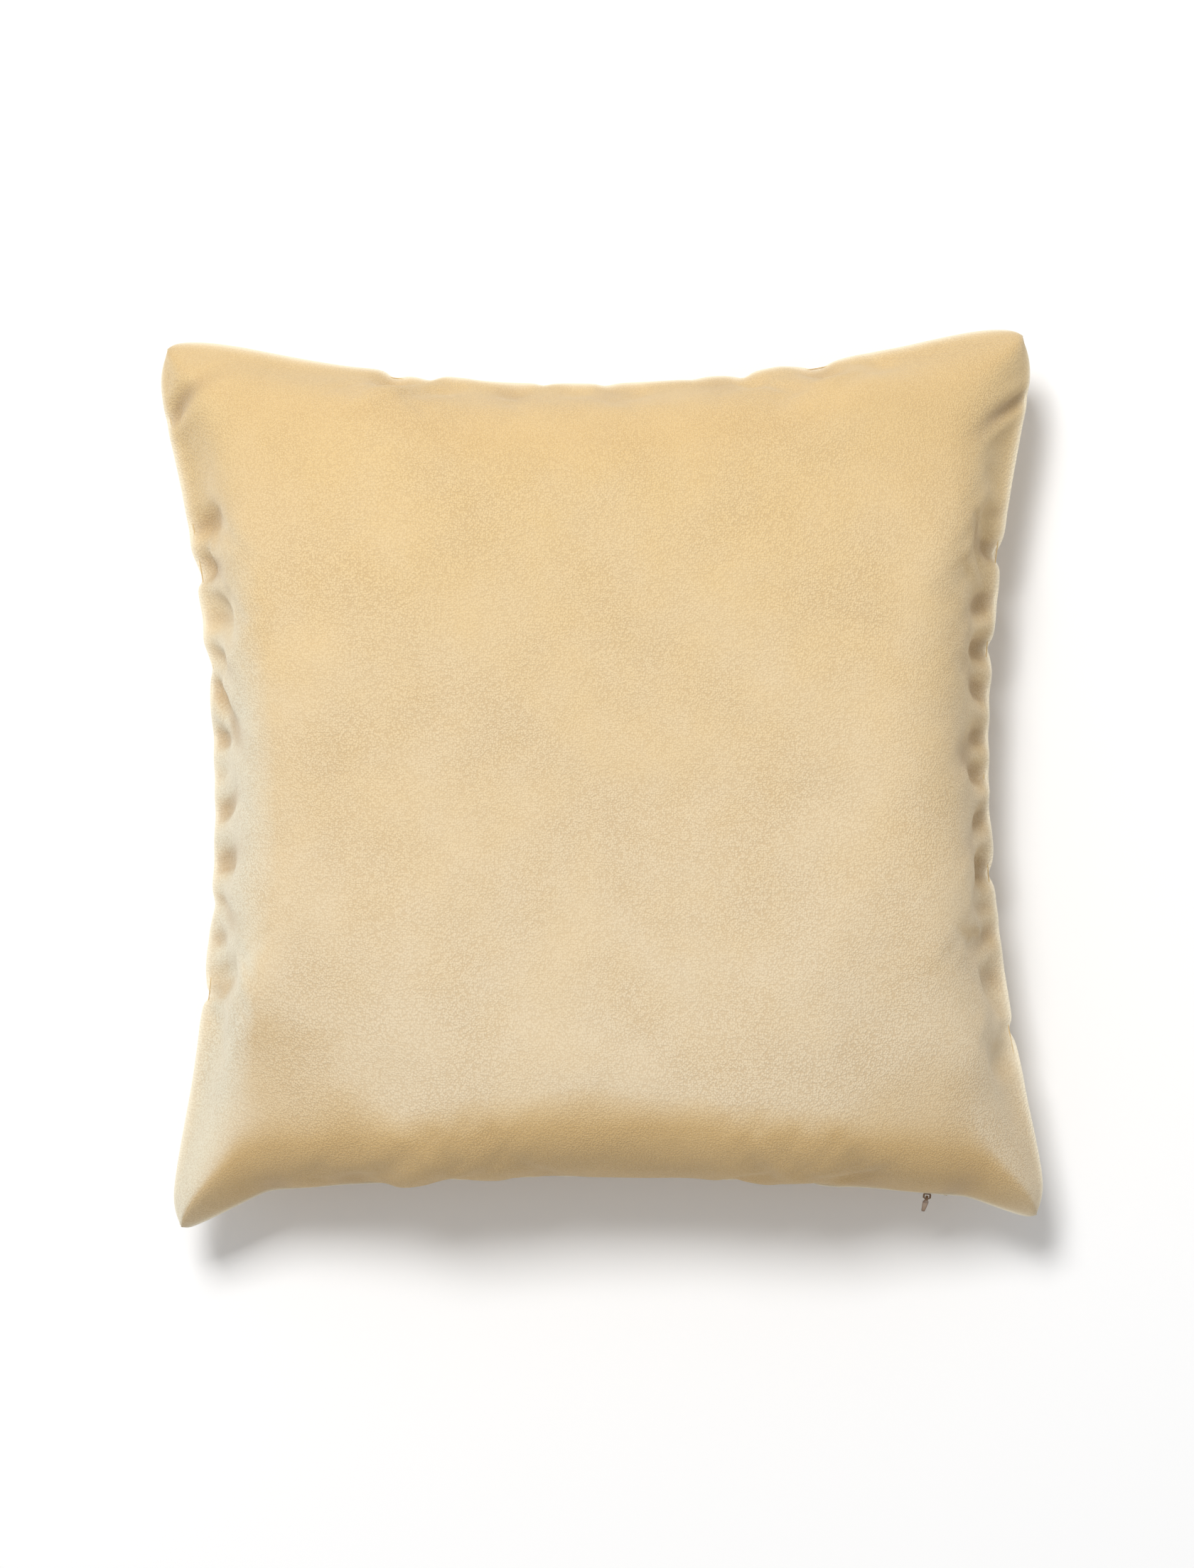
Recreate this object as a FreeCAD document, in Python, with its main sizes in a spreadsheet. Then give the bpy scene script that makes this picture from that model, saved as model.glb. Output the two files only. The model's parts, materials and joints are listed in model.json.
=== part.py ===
import FreeCAD, Part
import math
import os
import Sketcher

# Square knife-edge cushion: a velvet cover closed by a concealed zip in its front edge seam,
# stuffed with a separate sewn insert. It lies on its back. +Z is up through the crown of the
# front panel, X runs along the zip and the zip is in the -Y seam. The origin is on the surface
# it rests on, under the middle of the cover. Millimetres throughout.

DIMENSIONS = (
    # the cover: spans between the sharp seam corners, and how far each side pulls in
    ("cover_length", 541.0),
    ("cover_width", 552.0),
    ("side_sag", 43.0),
    ("corner_trim", 0.052),
    ("corner_power", 14.0),
    ("seam_rise", 62.0),
    ("corner_droop", 6.0),
    ("droop_start", 0.76),
    ("front_crown", 84.0),
    ("back_depth", 72.0),
    ("crown_power", 3.2),
    ("velvet_gauge", 1.2),
    ("rim_height", 0.4),
    ("seam_allowance", 11.0),
    ("edge_binding", 0.8),
    ("thread_width", 0.5),
    ("thread_inset", 3.0),
    # the stuffed insert, set back from the cover's seam all round
    ("insert_setback", 16.0),
    ("insert_clearance", 0.4),
    ("casing_gauge", 0.5),
    ("casing_allowance", 1.5),
    ("filling_clearance", 0.2),
    ("closing_length", 150.0),
    # the zip: an arc about a centre far out beyond the seam, from its left end to its right end
    ("zip_radius", 1955.0),
    ("zip_centre_x", -44.0),
    ("zip_left_x", -186.0),
    ("zip_right_x", 199.0),
    ("flare_left", 198.0),
    ("flare_right", 210.0),
    ("flare_power", 1.25),
    ("flare_reach", 8.0),
    ("slot_half", 0.9),
    ("well_depth", 14.0),
    ("well_half", 2.0),
    ("well_setback", 0.4),
    ("fold_gap", 1.3),
    ("tape_gauge", 0.6),
    ("tape_width", 12.9),
    ("tape_bend", 3.6),
    ("tape_lean", 3.2),
    ("tape_gap", 0.1),
    ("coil_radius", 1.0),
    ("coil_split", 0.75),
    ("coil_gap", 0.05),
    ("stop_length", 2.5),
    ("stop_half", 1.15),
    ("tack_length", 1.8),
    ("tack_margin", 0.2),
    ("stitch_radius", 0.2),
    ("stitch_height", 6.0),
    # the slider and its pull
    ("slider_x", 187.5),
    ("slider_open_x", -173.0),
    ("slider_length", 8.0),
    ("slider_clearance", 0.35),
    ("slider_wall", 1.0),
    ("web_half", 0.4),
    ("bail_half_length", 2.4),
    ("bail_reach", 3.2),
    ("bail_bar", 0.7),
    ("bail_eye_half", 1.3),
    ("bail_neck", 0.6),
    ("pull_length", 18.0),
    ("pull_width", 3.4),
    ("pull_tip_width", 2.2),
    ("pull_gauge", 1.0),
    ("ring_bore", 1.0),
    ("ring_wall", 0.7),
    ("ring_width", 1.6),
    ("pull_droop", 60.0),
    # the blank care label, folded and caught in the left seam inside the cover
    ("label_length", 32.0),
    ("label_reach", 8.0),
    ("label_gauge", 0.25),
    ("label_fold", 0.3),
    ("label_y", -60.0),
)
GRID = 41  # points each way on every cloth surface
CROWDING = 0.95  # how far grid lines crowd towards the seam, 0 evenly spread, 1 the most
OFFSET_FADE = 6.0  # how fast a dome leaves the offset that it springs from
REST_BLEND = 12.0  # height over which a dome turns into the flat that it rests on

doc = FreeCAD.newDocument("throw_pillow")
sheet = doc.addObject("Spreadsheet::Sheet", "Dims")
for row, (name, value) in enumerate(DIMENSIONS, start=1):
    sheet.set("A%d" % row, name)
    sheet.set("B%d" % row, str(value))
    sheet.setAlias("B%d" % row, name)
doc.recompute()


def size(name):
    """A driving dimension read back from the sheet."""
    return float(sheet.get(name))


# ---------------------------------------------------------------- the cushion's shape


def ramp(value, start):
    """0 below start, 1 at 1, smooth between."""
    share = min(max((abs(value) - start) / (1.0 - start), 0.0), 1.0)
    return share * share * (3.0 - 2.0 * share)


def zip_side_depth(x):
    """How far the zip's side lies beyond its own middle, at x along it: an arc, then a flare."""
    radius = size("zip_radius")
    centre = size("zip_centre_x")

    def arc(place):
        return math.sqrt(radius**2 - centre**2) - math.sqrt(radius**2 - (place - centre) ** 2)

    half = size("cover_length") / 2.0
    start = size("flare_right") if x > 0 else size("flare_left")
    beyond = max(abs(x) - start, 0.0) / (half - start)
    tip = math.copysign(half, x)
    reach = size("side_sag") + size("flare_reach") - arc(tip)
    return arc(x) + reach * beyond ** size("flare_power")


def plan_point(u, v, inset):
    """Plan position of the square cloth's point (u, v), each -1..1, on an outline set in by inset."""
    trim = size("corner_trim")
    power = size("corner_power")
    sag = size("side_sag")
    across = u * (1.0 - trim * abs(v) ** power)
    along = v * (1.0 - trim * abs(u) ** power)
    half_x = size("cover_length") / 2.0 - inset
    half_y = size("cover_width") / 2.0 - inset
    x = across * (half_x - sag * (1.0 - along**2))
    far_side = sag * (1.0 - across**2)
    zip_side = sag - zip_side_depth(across * half_x)
    y = along * (half_y - far_side * (1.0 + along) / 2.0 - zip_side * (1.0 - along) / 2.0)
    return x, y


def seam_height(x, y):
    """The seam is level along each side and droops towards the four corners."""
    start = size("droop_start")
    along = ramp(2.0 * x / size("cover_length"), start)
    across = ramp(2.0 * y / size("cover_width"), start)
    return size("seam_rise") - size("corner_droop") * along * across


def bulge(u, v):
    """1 at the crown, 0 along the seam, upright where it meets the seam."""
    power = size("crown_power")
    side_to_side = max(1.0 - abs(u) ** power, 0.0)
    end_to_end = max(1.0 - abs(v) ** power, 0.0)
    return math.sqrt(side_to_side) * math.sqrt(end_to_end)


def grid_share(index):
    """Grid lines crowd towards the seam, where the cloth turns fastest."""
    turn = CROWDING * math.pi / 2.0
    return math.sin(turn * (2.0 * index / (GRID - 1) - 1.0)) / math.sin(turn)


def pressed(height, level):
    """Height of a point of a dome that is pressed flat at this level, blended smoothly."""
    overlap = max(REST_BLEND - abs(height - level), 0.0) / REST_BLEND
    return max(height, level) + overlap * overlap * REST_BLEND / 4.0


def cloth_points(inset, offset, rise, rest_level):
    """Grid of points: the seam's surface moved by offset, or a dome that springs from there.

    The offset dies away up the dome, whose crown is then exactly rise from the seam's surface.
    A rest level presses the dome flat where the cushion lies on it.
    """
    fade = OFFSET_FADE if rise else 0.0
    rows = []
    for i in range(GRID):
        u = grid_share(i)
        row = []
        for j in range(GRID):
            v = grid_share(j)
            x, y = plan_point(u, v, inset)
            dome = bulge(u, v)
            lift = offset * (1.0 - dome) ** fade + rise * dome
            height = seam_height(x, y) + lift
            if rest_level is not None:
                height = pressed(height, rest_level)
            row.append(FreeCAD.Vector(x, y, height))
        rows.append(row)
    return rows


def spline_poles(points):
    """Poles of the cubic spline through evenly parametrised points, with its knots."""
    curve = Part.BSplineCurve()
    curve.interpolate(Points=points, Parameters=[float(i) for i in range(len(points))])
    return curve.getPoles(), curve.getMultiplicities(), curve.getKnots()


def cloth_face(inset, offset, rise=0.0, rest_level=None):
    """One smooth face through a grid of cloth points."""
    points = cloth_points(inset, offset, rise, rest_level)
    rows = [spline_poles(row)[0] for row in points]
    columns = []
    for j in range(len(rows[0])):
        poles, mults, knots = spline_poles([row[j] for row in rows])
        columns.append(poles)
    across = [list(line) for line in zip(*columns)]
    surface = Part.BSplineSurface()
    surface.buildFromPolesMultsKnots(across, mults, mults, knots, knots, False, False, 3, 3)
    return surface.toShape()


def closed_solid(faces):
    """Sew faces that share their edges into one solid that faces outwards."""
    shell = Part.Shell(faces)
    shell.sewShape()
    solid = Part.Solid(shell)
    if solid.Volume < 0:
        solid.reverse()
    return solid


def matching_sides(low, high):
    """The four ruled walls between two cloth faces over the same outline."""
    walls = []
    for edge in low.Edges:
        middle = edge.CenterOfMass
        partner = min(high.Edges, key=lambda other: (other.CenterOfMass - middle).Length)
        walls.append(Part.makeRuledSurface(edge, partner))
    return walls


def cloth_dome(inset, offset, rise, rest_level=None):
    """Solid between the seam's surface, moved by offset, and a dome of the given rise.

    Its rim is a low upright wall, so the seam's edge is blunt.
    """
    rim = math.copysign(size("rim_height"), rise)
    base = cloth_face(inset, offset)
    top = cloth_face(inset, offset + rim, rise, rest_level)
    return closed_solid([base, top] + matching_sides(base, top))


def cloth_slab(inset, low, high):
    """Solid between two copies of the seam's surface, moved by low and by high."""
    bottom = cloth_face(inset, low)
    top = cloth_face(inset, high)
    return closed_solid([bottom, top] + matching_sides(bottom, top))


def cloth_ring(inset, width, low, high):
    """A band that follows the seam all round, from inset to inset + width."""
    past = 1.0
    return cloth_slab(inset, low, high).cut(cloth_slab(inset + width, low - past, high + past))


# ---------------------------------------------------------------- the zip's own frame

# Every zip piece turns about one upright axis. "Dims.zip_radius" plus an inward distance from
# the seam's outer edge is its radius, and heights are measured from the seam.
CENTRE_Y = (
    "-(Dims.cover_width / 2 - Dims.side_sag) - sqrt(Dims.zip_radius^2 - Dims.zip_centre_x^2)"
)


def polar_angle(place):
    """Expression for the polar angle of the seam at x = place."""
    return "acos((%s - Dims.zip_centre_x) / Dims.zip_radius)" % place


def zip_centre():
    """The zip's axis, as a point at the seam's height."""
    radius = size("zip_radius")
    centre_x = size("zip_centre_x")
    middle = size("cover_width") / 2.0 - size("side_sag")
    return FreeCAD.Vector(
        centre_x, -middle - math.sqrt(radius**2 - centre_x**2), size("seam_rise")
    )


def place_point(sketch, geometry, point, horizontal, vertical):
    """Tie a sketch point to two expressions, measured from the sketch's origin."""
    for kind, expression in (("DistanceX", horizontal), ("DistanceY", vertical)):
        at = sketch.addConstraint(Sketcher.Constraint(kind, -1, 1, geometry, point, 1.0))
        sketch.setExpression("Constraints[%d]" % at, expression)


def add_polygon(sketch, corners):
    """A closed outline whose corners are tied to pairs of expressions."""
    rough = [value_of(pair) for pair in corners]
    first = sketch.GeometryCount
    count = len(corners)
    for i in range(count):
        sketch.addGeometry(Part.LineSegment(rough[i], rough[(i + 1) % count]), False)
    for i in range(count):
        following = first + (i + 1) % count
        sketch.addConstraint(Sketcher.Constraint("Coincident", first + i, 2, following, 1))
    for i, (horizontal, vertical) in enumerate(corners):
        place_point(sketch, first + i, 1, horizontal, vertical)


def value_of(pair):
    """Where a pair of expressions puts a point now."""
    return FreeCAD.Vector(
        float(sheet.evalExpression(pair[0])), float(sheet.evalExpression(pair[1])), 0.0
    )


def add_circle(sketch, centre, radius):
    """A circle whose centre and radius are tied to expressions."""
    at = sketch.addGeometry(
        Part.Circle(value_of(centre), FreeCAD.Vector(0, 0, 1), size_of(radius)), False
    )
    place_point(sketch, at, 3, centre[0], centre[1])
    held = sketch.addConstraint(Sketcher.Constraint("Radius", at, size_of(radius)))
    sketch.setExpression("Constraints[%d]" % held, radius)


def size_of(expression):
    """The value of an expression now."""
    return float(sheet.evalExpression(expression))


def new_body(label):
    """A body whose label is its sub-part's name."""
    body = doc.addObject("PartDesign::Body", label)
    body.Label = label
    return body


def new_sketch(body, plane, name):
    """A sketch on one of the body's own origin planes."""
    sketch = body.newObject("Sketcher::SketchObject", name)
    support = [item for item in body.Origin.OriginFeatures if item.Role == plane][0]
    sketch.AttachmentSupport = [(support, "")]
    sketch.MapMode = "FlatFace"
    return sketch


def turn_about_zip_axis(body, start):
    """Stand the body on the zip's axis, turned to where its sweep starts."""
    body.setExpression("Placement.Base.x", "Dims.zip_centre_x")
    body.setExpression("Placement.Base.y", CENTRE_Y)
    body.setExpression("Placement.Base.z", "Dims.seam_rise")
    body.Placement.Rotation = FreeCAD.Rotation(FreeCAD.Vector(0, 0, 1), 1.0)
    body.setExpression("Placement.Rotation.Angle", polar_angle(start))


def sweep_about_zip_axis(body, sketch, right, left):
    """Turn the section from x = right round to x = left."""
    turn = body.newObject("PartDesign::Revolution", body.Label + "_sweep")
    turn.Profile = sketch
    turn.ReferenceAxis = (sketch, ["V_Axis"])
    turn.setExpression("Angle", "%s - %s" % (polar_angle(left), polar_angle(right)))
    turn_about_zip_axis(body, right)


def radial(inward):
    """Radius of a point that lies this far in from the seam's outer edge."""
    return "Dims.zip_radius + (%s)" % inward


def swept_polygon(label, corners, right, left):
    """A zip piece with a straight-sided section, given as (inward, height) pairs."""
    body = new_body(label)
    sketch = new_sketch(body, "XZ_Plane", label + "_section")
    add_polygon(sketch, [(radial(inward), height) for inward, height in corners])
    sweep_about_zip_axis(body, sketch, right, left)
    return body


def swept_circle(label, centre, radius, right, left):
    """A zip piece with a round section."""
    body = new_body(label)
    sketch = new_sketch(body, "XZ_Plane", label + "_section")
    add_circle(sketch, (radial(centre[0]), centre[1]), radius)
    sweep_about_zip_axis(body, sketch, right, left)
    return body


def sector(corners, right, left):
    """The same sweep as a bare shape, for cutting and joining cloth panels."""
    centre = zip_centre()
    radius = size("zip_radius")
    angles = [
        math.degrees(math.acos((place - centre.x) / radius)) for place in (right, left)
    ]
    points = [FreeCAD.Vector(radius + inward, 0, height) for inward, height in corners]
    face = Part.Face(Part.makePolygon(points + points[:1]))
    solid = face.revolve(FreeCAD.Vector(), FreeCAD.Vector(0, 0, 1), angles[1] - angles[0])
    solid.rotate(FreeCAD.Vector(), FreeCAD.Vector(0, 0, 1), angles[0])
    solid.translate(centre)
    return solid


# ---------------------------------------------------------------- the cover's cloth


def cloth_part(label, shape):
    """A sub-part whose shape is worked out from the sheet in code."""
    part = doc.addObject("Part::Feature", label)
    part.Label = label
    part.Shape = shape
    part.Placement = FreeCAD.Placement()
    return part


def zip_well():
    """The slot between the lips of the seam, and the room behind it for tapes and slider."""
    slot = size("slot_half")
    well = size("well_half")
    wall = size("velvet_gauge") + size("well_setback")
    outside = -size("bail_reach")
    corners = (
        (outside, -slot),
        (wall, -slot),
        (wall, -well),
        (size("well_depth"), -well),
        (size("well_depth"), well),
        (wall, well),
        (wall, slot),
        (outside, slot),
    )
    return sector(corners, size("zip_right_x"), size("zip_left_x"))


def turned_allowance(side):
    """The seam allowance of one panel along the zip, turned back clear of the panel's inside."""
    gauge = size("velvet_gauge")
    face = 2.0 * gauge + size("fold_gap")
    slot = size("slot_half")
    bend = size("tape_bend")
    lean = size("tape_lean")
    corners = (
        (gauge / 2.0, side * slot),
        (face, side * slot),
        (face, side * bend),
        (face + lean, side * size("tape_width")),
        (face + lean - gauge, side * size("tape_width")),
        (face - gauge, side * bend),
        (face - gauge, side * (slot + gauge)),
        (gauge / 2.0, side * (slot + gauge)),
    )
    return sector(corners, size("zip_right_x"), size("zip_left_x"))


def panel_shape(side, inset, height, gauge, allowance, rest_level=None):
    """A domed cloth panel, front for side 1 and back for -1, with its allowance turned in.

    A rest level presses the panel flat where the cushion lies on it.
    """
    hollow_level = None if rest_level is None else rest_level + gauge
    outer = cloth_dome(inset, 0.0, side * height, rest_level)
    hollow = cloth_dome(inset + gauge, side * gauge, side * (height - gauge), hollow_level)
    low, high = sorted((-0.5 * side * gauge, 1.5 * side * gauge))
    return outer.cut(hollow).cut(cloth_slab(inset + allowance, low, high))


def front_panel():
    """The cover's upper panel, with its allowance turned in and folded back along the zip."""
    gauge = size("velvet_gauge")
    panel = panel_shape(1, 0.0, size("front_crown"), gauge, size("seam_allowance"))
    panel = panel.cut(zip_well()).fuse(turned_allowance(1))
    return cloth_part("front_panel", panel)


def back_panel():
    """The cover's lower panel, flat where it rests."""
    gauge = size("velvet_gauge")
    panel = panel_shape(-1, 0.0, size("back_depth"), gauge, size("seam_allowance"), 0.0)
    panel = panel.cut(zip_well()).fuse(turned_allowance(-1))
    return cloth_part("back_panel", panel)


def seam_thread():
    """The row of thread that joins the two allowances, all round but for the zip."""
    low = size("velvet_gauge") + size("coil_gap")
    width = size("thread_width")
    ring = cloth_ring(size("thread_inset"), width, low, low + width)
    return cloth_part("seam_thread", ring.cut(zip_well()))


def allowance_binding(side, label):
    """The overlocked thread along one allowance's raw edge."""
    gap = size("coil_gap")
    low, high = sorted((side * gap, side * (size("velvet_gauge") - gap)))
    ring = cloth_ring(size("seam_allowance") + gap, size("edge_binding"), low, high)
    return cloth_part(label, ring.cut(zip_well()))


# ---------------------------------------------------------------- the insert


def insert_front_casing():
    """The insert's upper casing, just inside the cover's front panel."""
    height = size("front_crown") - size("velvet_gauge") - size("insert_clearance")
    allowance = size("casing_allowance")
    shape = panel_shape(1, size("insert_setback"), height, size("casing_gauge"), allowance)
    return cloth_part("insert_front_casing", shape)


def insert_back_casing():
    """The insert's lower casing, flat just above the cover's back panel."""
    inset = size("insert_setback")
    level = size("velvet_gauge") + size("insert_clearance")
    gauge = size("casing_gauge")
    depth = size("back_depth")
    shape = panel_shape(-1, inset, depth, gauge, size("casing_allowance"), level)
    return cloth_part("insert_back_casing", shape)


def insert_filling():
    """The fibre filling, a single soft mass that fills the casing."""
    clearance = size("filling_clearance")
    shell = size("casing_gauge") + clearance
    inset = size("insert_setback") + size("casing_allowance") + clearance
    lining = size("velvet_gauge") + size("insert_clearance")
    upper = cloth_dome(inset, 0.0, size("front_crown") - lining - shell)
    lower = cloth_dome(inset, 0.0, shell - size("back_depth"), lining + shell)
    return cloth_part("insert_filling", upper.fuse(lower))


def insert_seam_thread():
    """The overlocked seam round the insert's edge, open where the closing stitches are."""
    width = size("thread_width")
    ring = cloth_ring(
        size("insert_setback") - width - size("coil_gap"), width, -width / 2.0, width / 2.0
    )
    return cloth_part("insert_seam_thread", ring.cut(closing_block()))


def closing_block():
    """The stretch of the insert's far side through which it was filled."""
    length = size("closing_length")
    half_width = size("cover_width") / 2.0
    depth = size("side_sag") + size("insert_setback") * 2.0
    height = size("insert_setback")
    corner = FreeCAD.Vector(-length / 2.0, half_width - depth, size("seam_rise") - height / 2.0)
    return Part.makeBox(length, depth, height, corner)


def insert_closing_stitches():
    """The machine stitching that shuts the insert's filling gap."""
    width = size("thread_width")
    ring = cloth_ring(
        size("insert_setback") - width - size("coil_gap"), width, -width, width
    )
    return cloth_part("insert_closing_stitches", ring.common(closing_block()))


# ---------------------------------------------------------------- the zip


TAPE_FACE = "2 * Dims.velvet_gauge + Dims.fold_gap + Dims.tape_gap"
TAPE_BACK = TAPE_FACE + " + Dims.tape_gauge"


def zip_tape(side, label):
    """Half of the zip's woven tape: upright at the slot, then leaning in along the panel."""
    face = TAPE_FACE
    back = TAPE_BACK
    top = "%d * Dims.tape_width" % side
    bend = "%d * Dims.tape_bend" % side
    low = "%d * Dims.slot_half" % side
    corners = (
        (face, low),
        (back, low),
        (back, bend),
        (back + " + Dims.tape_lean", top),
        (face + " + Dims.tape_lean", top),
        (face, bend),
    )
    return swept_polygon(label, corners, "Dims.zip_right_x", "Dims.zip_left_x")


COIL_INWARD = TAPE_BACK + " + Dims.coil_gap + Dims.coil_radius"
COIL_HEIGHT = "(Dims.coil_split + Dims.coil_radius)"
HALF_SLIDER = "Dims.slider_length / 2"
RIGHT_STOP_X = "(Dims.slider_x + %s + Dims.slider_clearance)" % HALF_SLIDER
LEFT_STOP_X = "(Dims.slider_open_x - %s - Dims.slider_clearance)" % HALF_SLIDER


def zip_coil(side, label):
    """One half of the coil, as the round bar that its turns fill."""
    centre = (COIL_INWARD, "%d * %s" % (side, COIL_HEIGHT))
    return swept_circle(label, centre, "Dims.coil_radius", RIGHT_STOP_X, LEFT_STOP_X)


def zip_top_stop(side, label):
    """The clamp at the closed end of one coil."""
    inner = COIL_INWARD + " - Dims.coil_radius"
    outer = COIL_INWARD + " + Dims.stop_half"
    low = "%d * (%s - Dims.stop_half)" % (side, COIL_HEIGHT)
    high = "%d * (%s + Dims.stop_half)" % (side, COIL_HEIGHT)
    corners = ((inner, low), (outer, low), (outer, high), (inner, high))
    end = RIGHT_STOP_X + " + Dims.stop_length"
    return swept_polygon(label, corners, end, RIGHT_STOP_X)


def zip_bottom_stop():
    """The clamp across both coils at the open end."""
    inner = COIL_INWARD + " - Dims.coil_radius"
    outer = COIL_INWARD + " + Dims.stop_half"
    reach = "(%s + Dims.stop_half)" % COIL_HEIGHT
    corners = (
        (inner, "-1 * " + reach),
        (outer, "-1 * " + reach),
        (outer, reach),
        (inner, reach),
    )
    end = LEFT_STOP_X + " - Dims.stop_length"
    return swept_polygon("zip_bottom_stop", corners, LEFT_STOP_X, end)


def zip_stitches(side, label):
    """The line of thread that sews one tape to its panel's allowance."""
    share = "(Dims.stitch_height - Dims.tape_bend) / (Dims.tape_width - Dims.tape_bend)"
    inward = "%s + Dims.tape_lean * %s + Dims.stitch_radius + Dims.coil_gap" % (TAPE_BACK, share)
    centre = (inward, "%d * Dims.stitch_height" % side)
    return swept_circle(
        label, centre, "Dims.stitch_radius", "Dims.zip_right_x", "Dims.zip_left_x"
    )


def zip_bar_tack(label, right, left):
    """The dense tack that closes one end of the slot."""
    corners = (
        ("Dims.tack_margin", "-Dims.slot_half"),
        ("Dims.velvet_gauge", "-Dims.slot_half"),
        ("Dims.velvet_gauge", "Dims.slot_half"),
        ("Dims.tack_margin", "Dims.slot_half"),
    )
    return swept_polygon(label, corners, right, left)


# ---------------------------------------------------------------- the slider and its pull

SLIDER_TURN = polar_angle("Dims.slider_x")
PLATE_FACE = COIL_INWARD + " + Dims.coil_radius + Dims.slider_clearance"
PLATE_BACK = PLATE_FACE + " + Dims.slider_wall"
FLANGE_FACE = "(Dims.coil_split + 2 * Dims.coil_radius + Dims.slider_clearance)"
FLANGE_BACK = "(%s + Dims.slider_wall)" % FLANGE_FACE
FLANGE_TIP = TAPE_BACK + " + Dims.slider_clearance + 0.1"
BAR_INWARD = "(Dims.bail_bar / 2 - Dims.bail_reach)"


def place_on_seam(body, inward, roll):
    """Stand a body on the seam at the slider: X along the seam, Y inwards, rolled about X."""
    turn = SLIDER_TURN
    reach = "(Dims.zip_radius + %s)" % inward
    x = "Dims.zip_centre_x + %s * cos(%s)" % (reach, turn)
    y = "%s + %s * sin(%s)" % (CENTRE_Y, reach, turn)
    body.setExpression(
        "Placement",
        "placement(vector(%s; %s; Dims.seam_rise); rotation(%s - 90 deg; 0; %s))"
        % (x, y, turn, roll),
    )


def symmetric_pad(body, sketch, name, length):
    """A pad of the given length, half on each side of its sketch."""
    pad = body.newObject("PartDesign::Pad", name)
    pad.Profile = sketch
    pad.SideType = "Symmetric"
    pad.setExpression("Length", length)
    return pad


def slider_body():
    """The die-cast slider: a channel round both coils, a web through the slot, and the bail."""
    body = new_body("slider_body")
    channel = new_sketch(body, "YZ_Plane", "slider_channel_section")
    corners = (
        (PLATE_BACK, "-1 * " + FLANGE_BACK),
        (PLATE_BACK, FLANGE_BACK),
        (FLANGE_TIP, FLANGE_BACK),
        (FLANGE_TIP, FLANGE_FACE),
        (PLATE_FACE, FLANGE_FACE),
        (PLATE_FACE, "-1 * " + FLANGE_FACE),
        (FLANGE_TIP, "-1 * " + FLANGE_FACE),
        (FLANGE_TIP, "-1 * " + FLANGE_BACK),
    )
    add_polygon(channel, corners)
    symmetric_pad(body, channel, "slider_channel", "Dims.slider_length")
    web = new_sketch(body, "XY_Plane", "slider_web_outline")
    neck = "Dims.bail_eye_half"
    end = "Dims.bail_half_length"
    root = PLATE_FACE + " + Dims.slider_wall / 2"
    outline = (
        (neck, root),
        ("-" + neck, root),
        ("-" + neck, "Dims.velvet_gauge"),
        ("-" + end, "-Dims.bail_neck"),
        ("-" + end, "Dims.bail_bar - Dims.bail_reach"),
        ("-" + neck, "-Dims.bail_reach"),
        (neck, "-Dims.bail_reach"),
        (end, "Dims.bail_bar - Dims.bail_reach"),
        (end, "-Dims.bail_neck"),
        (neck, "Dims.velvet_gauge"),
    )
    add_polygon(web, outline)
    eye = (
        (neck, "-Dims.bail_neck"),
        ("-" + neck, "-Dims.bail_neck"),
        ("-" + neck, "Dims.bail_bar - Dims.bail_reach"),
        (neck, "Dims.bail_bar - Dims.bail_reach"),
    )
    add_polygon(web, eye)
    symmetric_pad(body, web, "slider_web", "2 * Dims.web_half")
    place_on_seam(body, "0", "0 deg")
    return body


def pull_tab():
    """The slim tapered pull: a ring through the bail and a dished tab that hangs from it."""
    body = new_body("pull_tab")
    ring = new_sketch(body, "YZ_Plane", "pull_ring_section")
    add_circle(ring, ("0", "0"), "Dims.ring_bore + Dims.ring_wall")
    add_circle(ring, ("0", "0"), "Dims.ring_bore")
    symmetric_pad(body, ring, "pull_ring", "Dims.ring_width")
    tab = new_sketch(body, "XY_Plane", "pull_tab_outline")
    neck = "Dims.ring_width / 2"
    shoulder = "Dims.pull_width / 2"
    tip = "Dims.pull_tip_width / 2"
    top = "-(Dims.ring_bore + Dims.ring_wall / 2)"
    widest = "-(Dims.ring_bore + Dims.ring_wall + Dims.pull_width)"
    tip_start = "Dims.pull_tip_width / 2 - Dims.pull_length"
    corners = (
        (neck, top),
        ("-" + neck, top),
        ("-" + shoulder, widest),
        ("-" + tip, tip_start),
        ("-" + tip + " / 2", "-Dims.pull_length"),
        (tip + " / 2", "-Dims.pull_length"),
        (tip, tip_start),
        (shoulder, widest),
    )
    add_polygon(tab, corners)
    symmetric_pad(body, tab, "pull_blade", "Dims.pull_gauge")
    place_on_seam(body, BAR_INWARD, "Dims.pull_droop * 1 deg")
    return body


# ---------------------------------------------------------------- the care label


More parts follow.
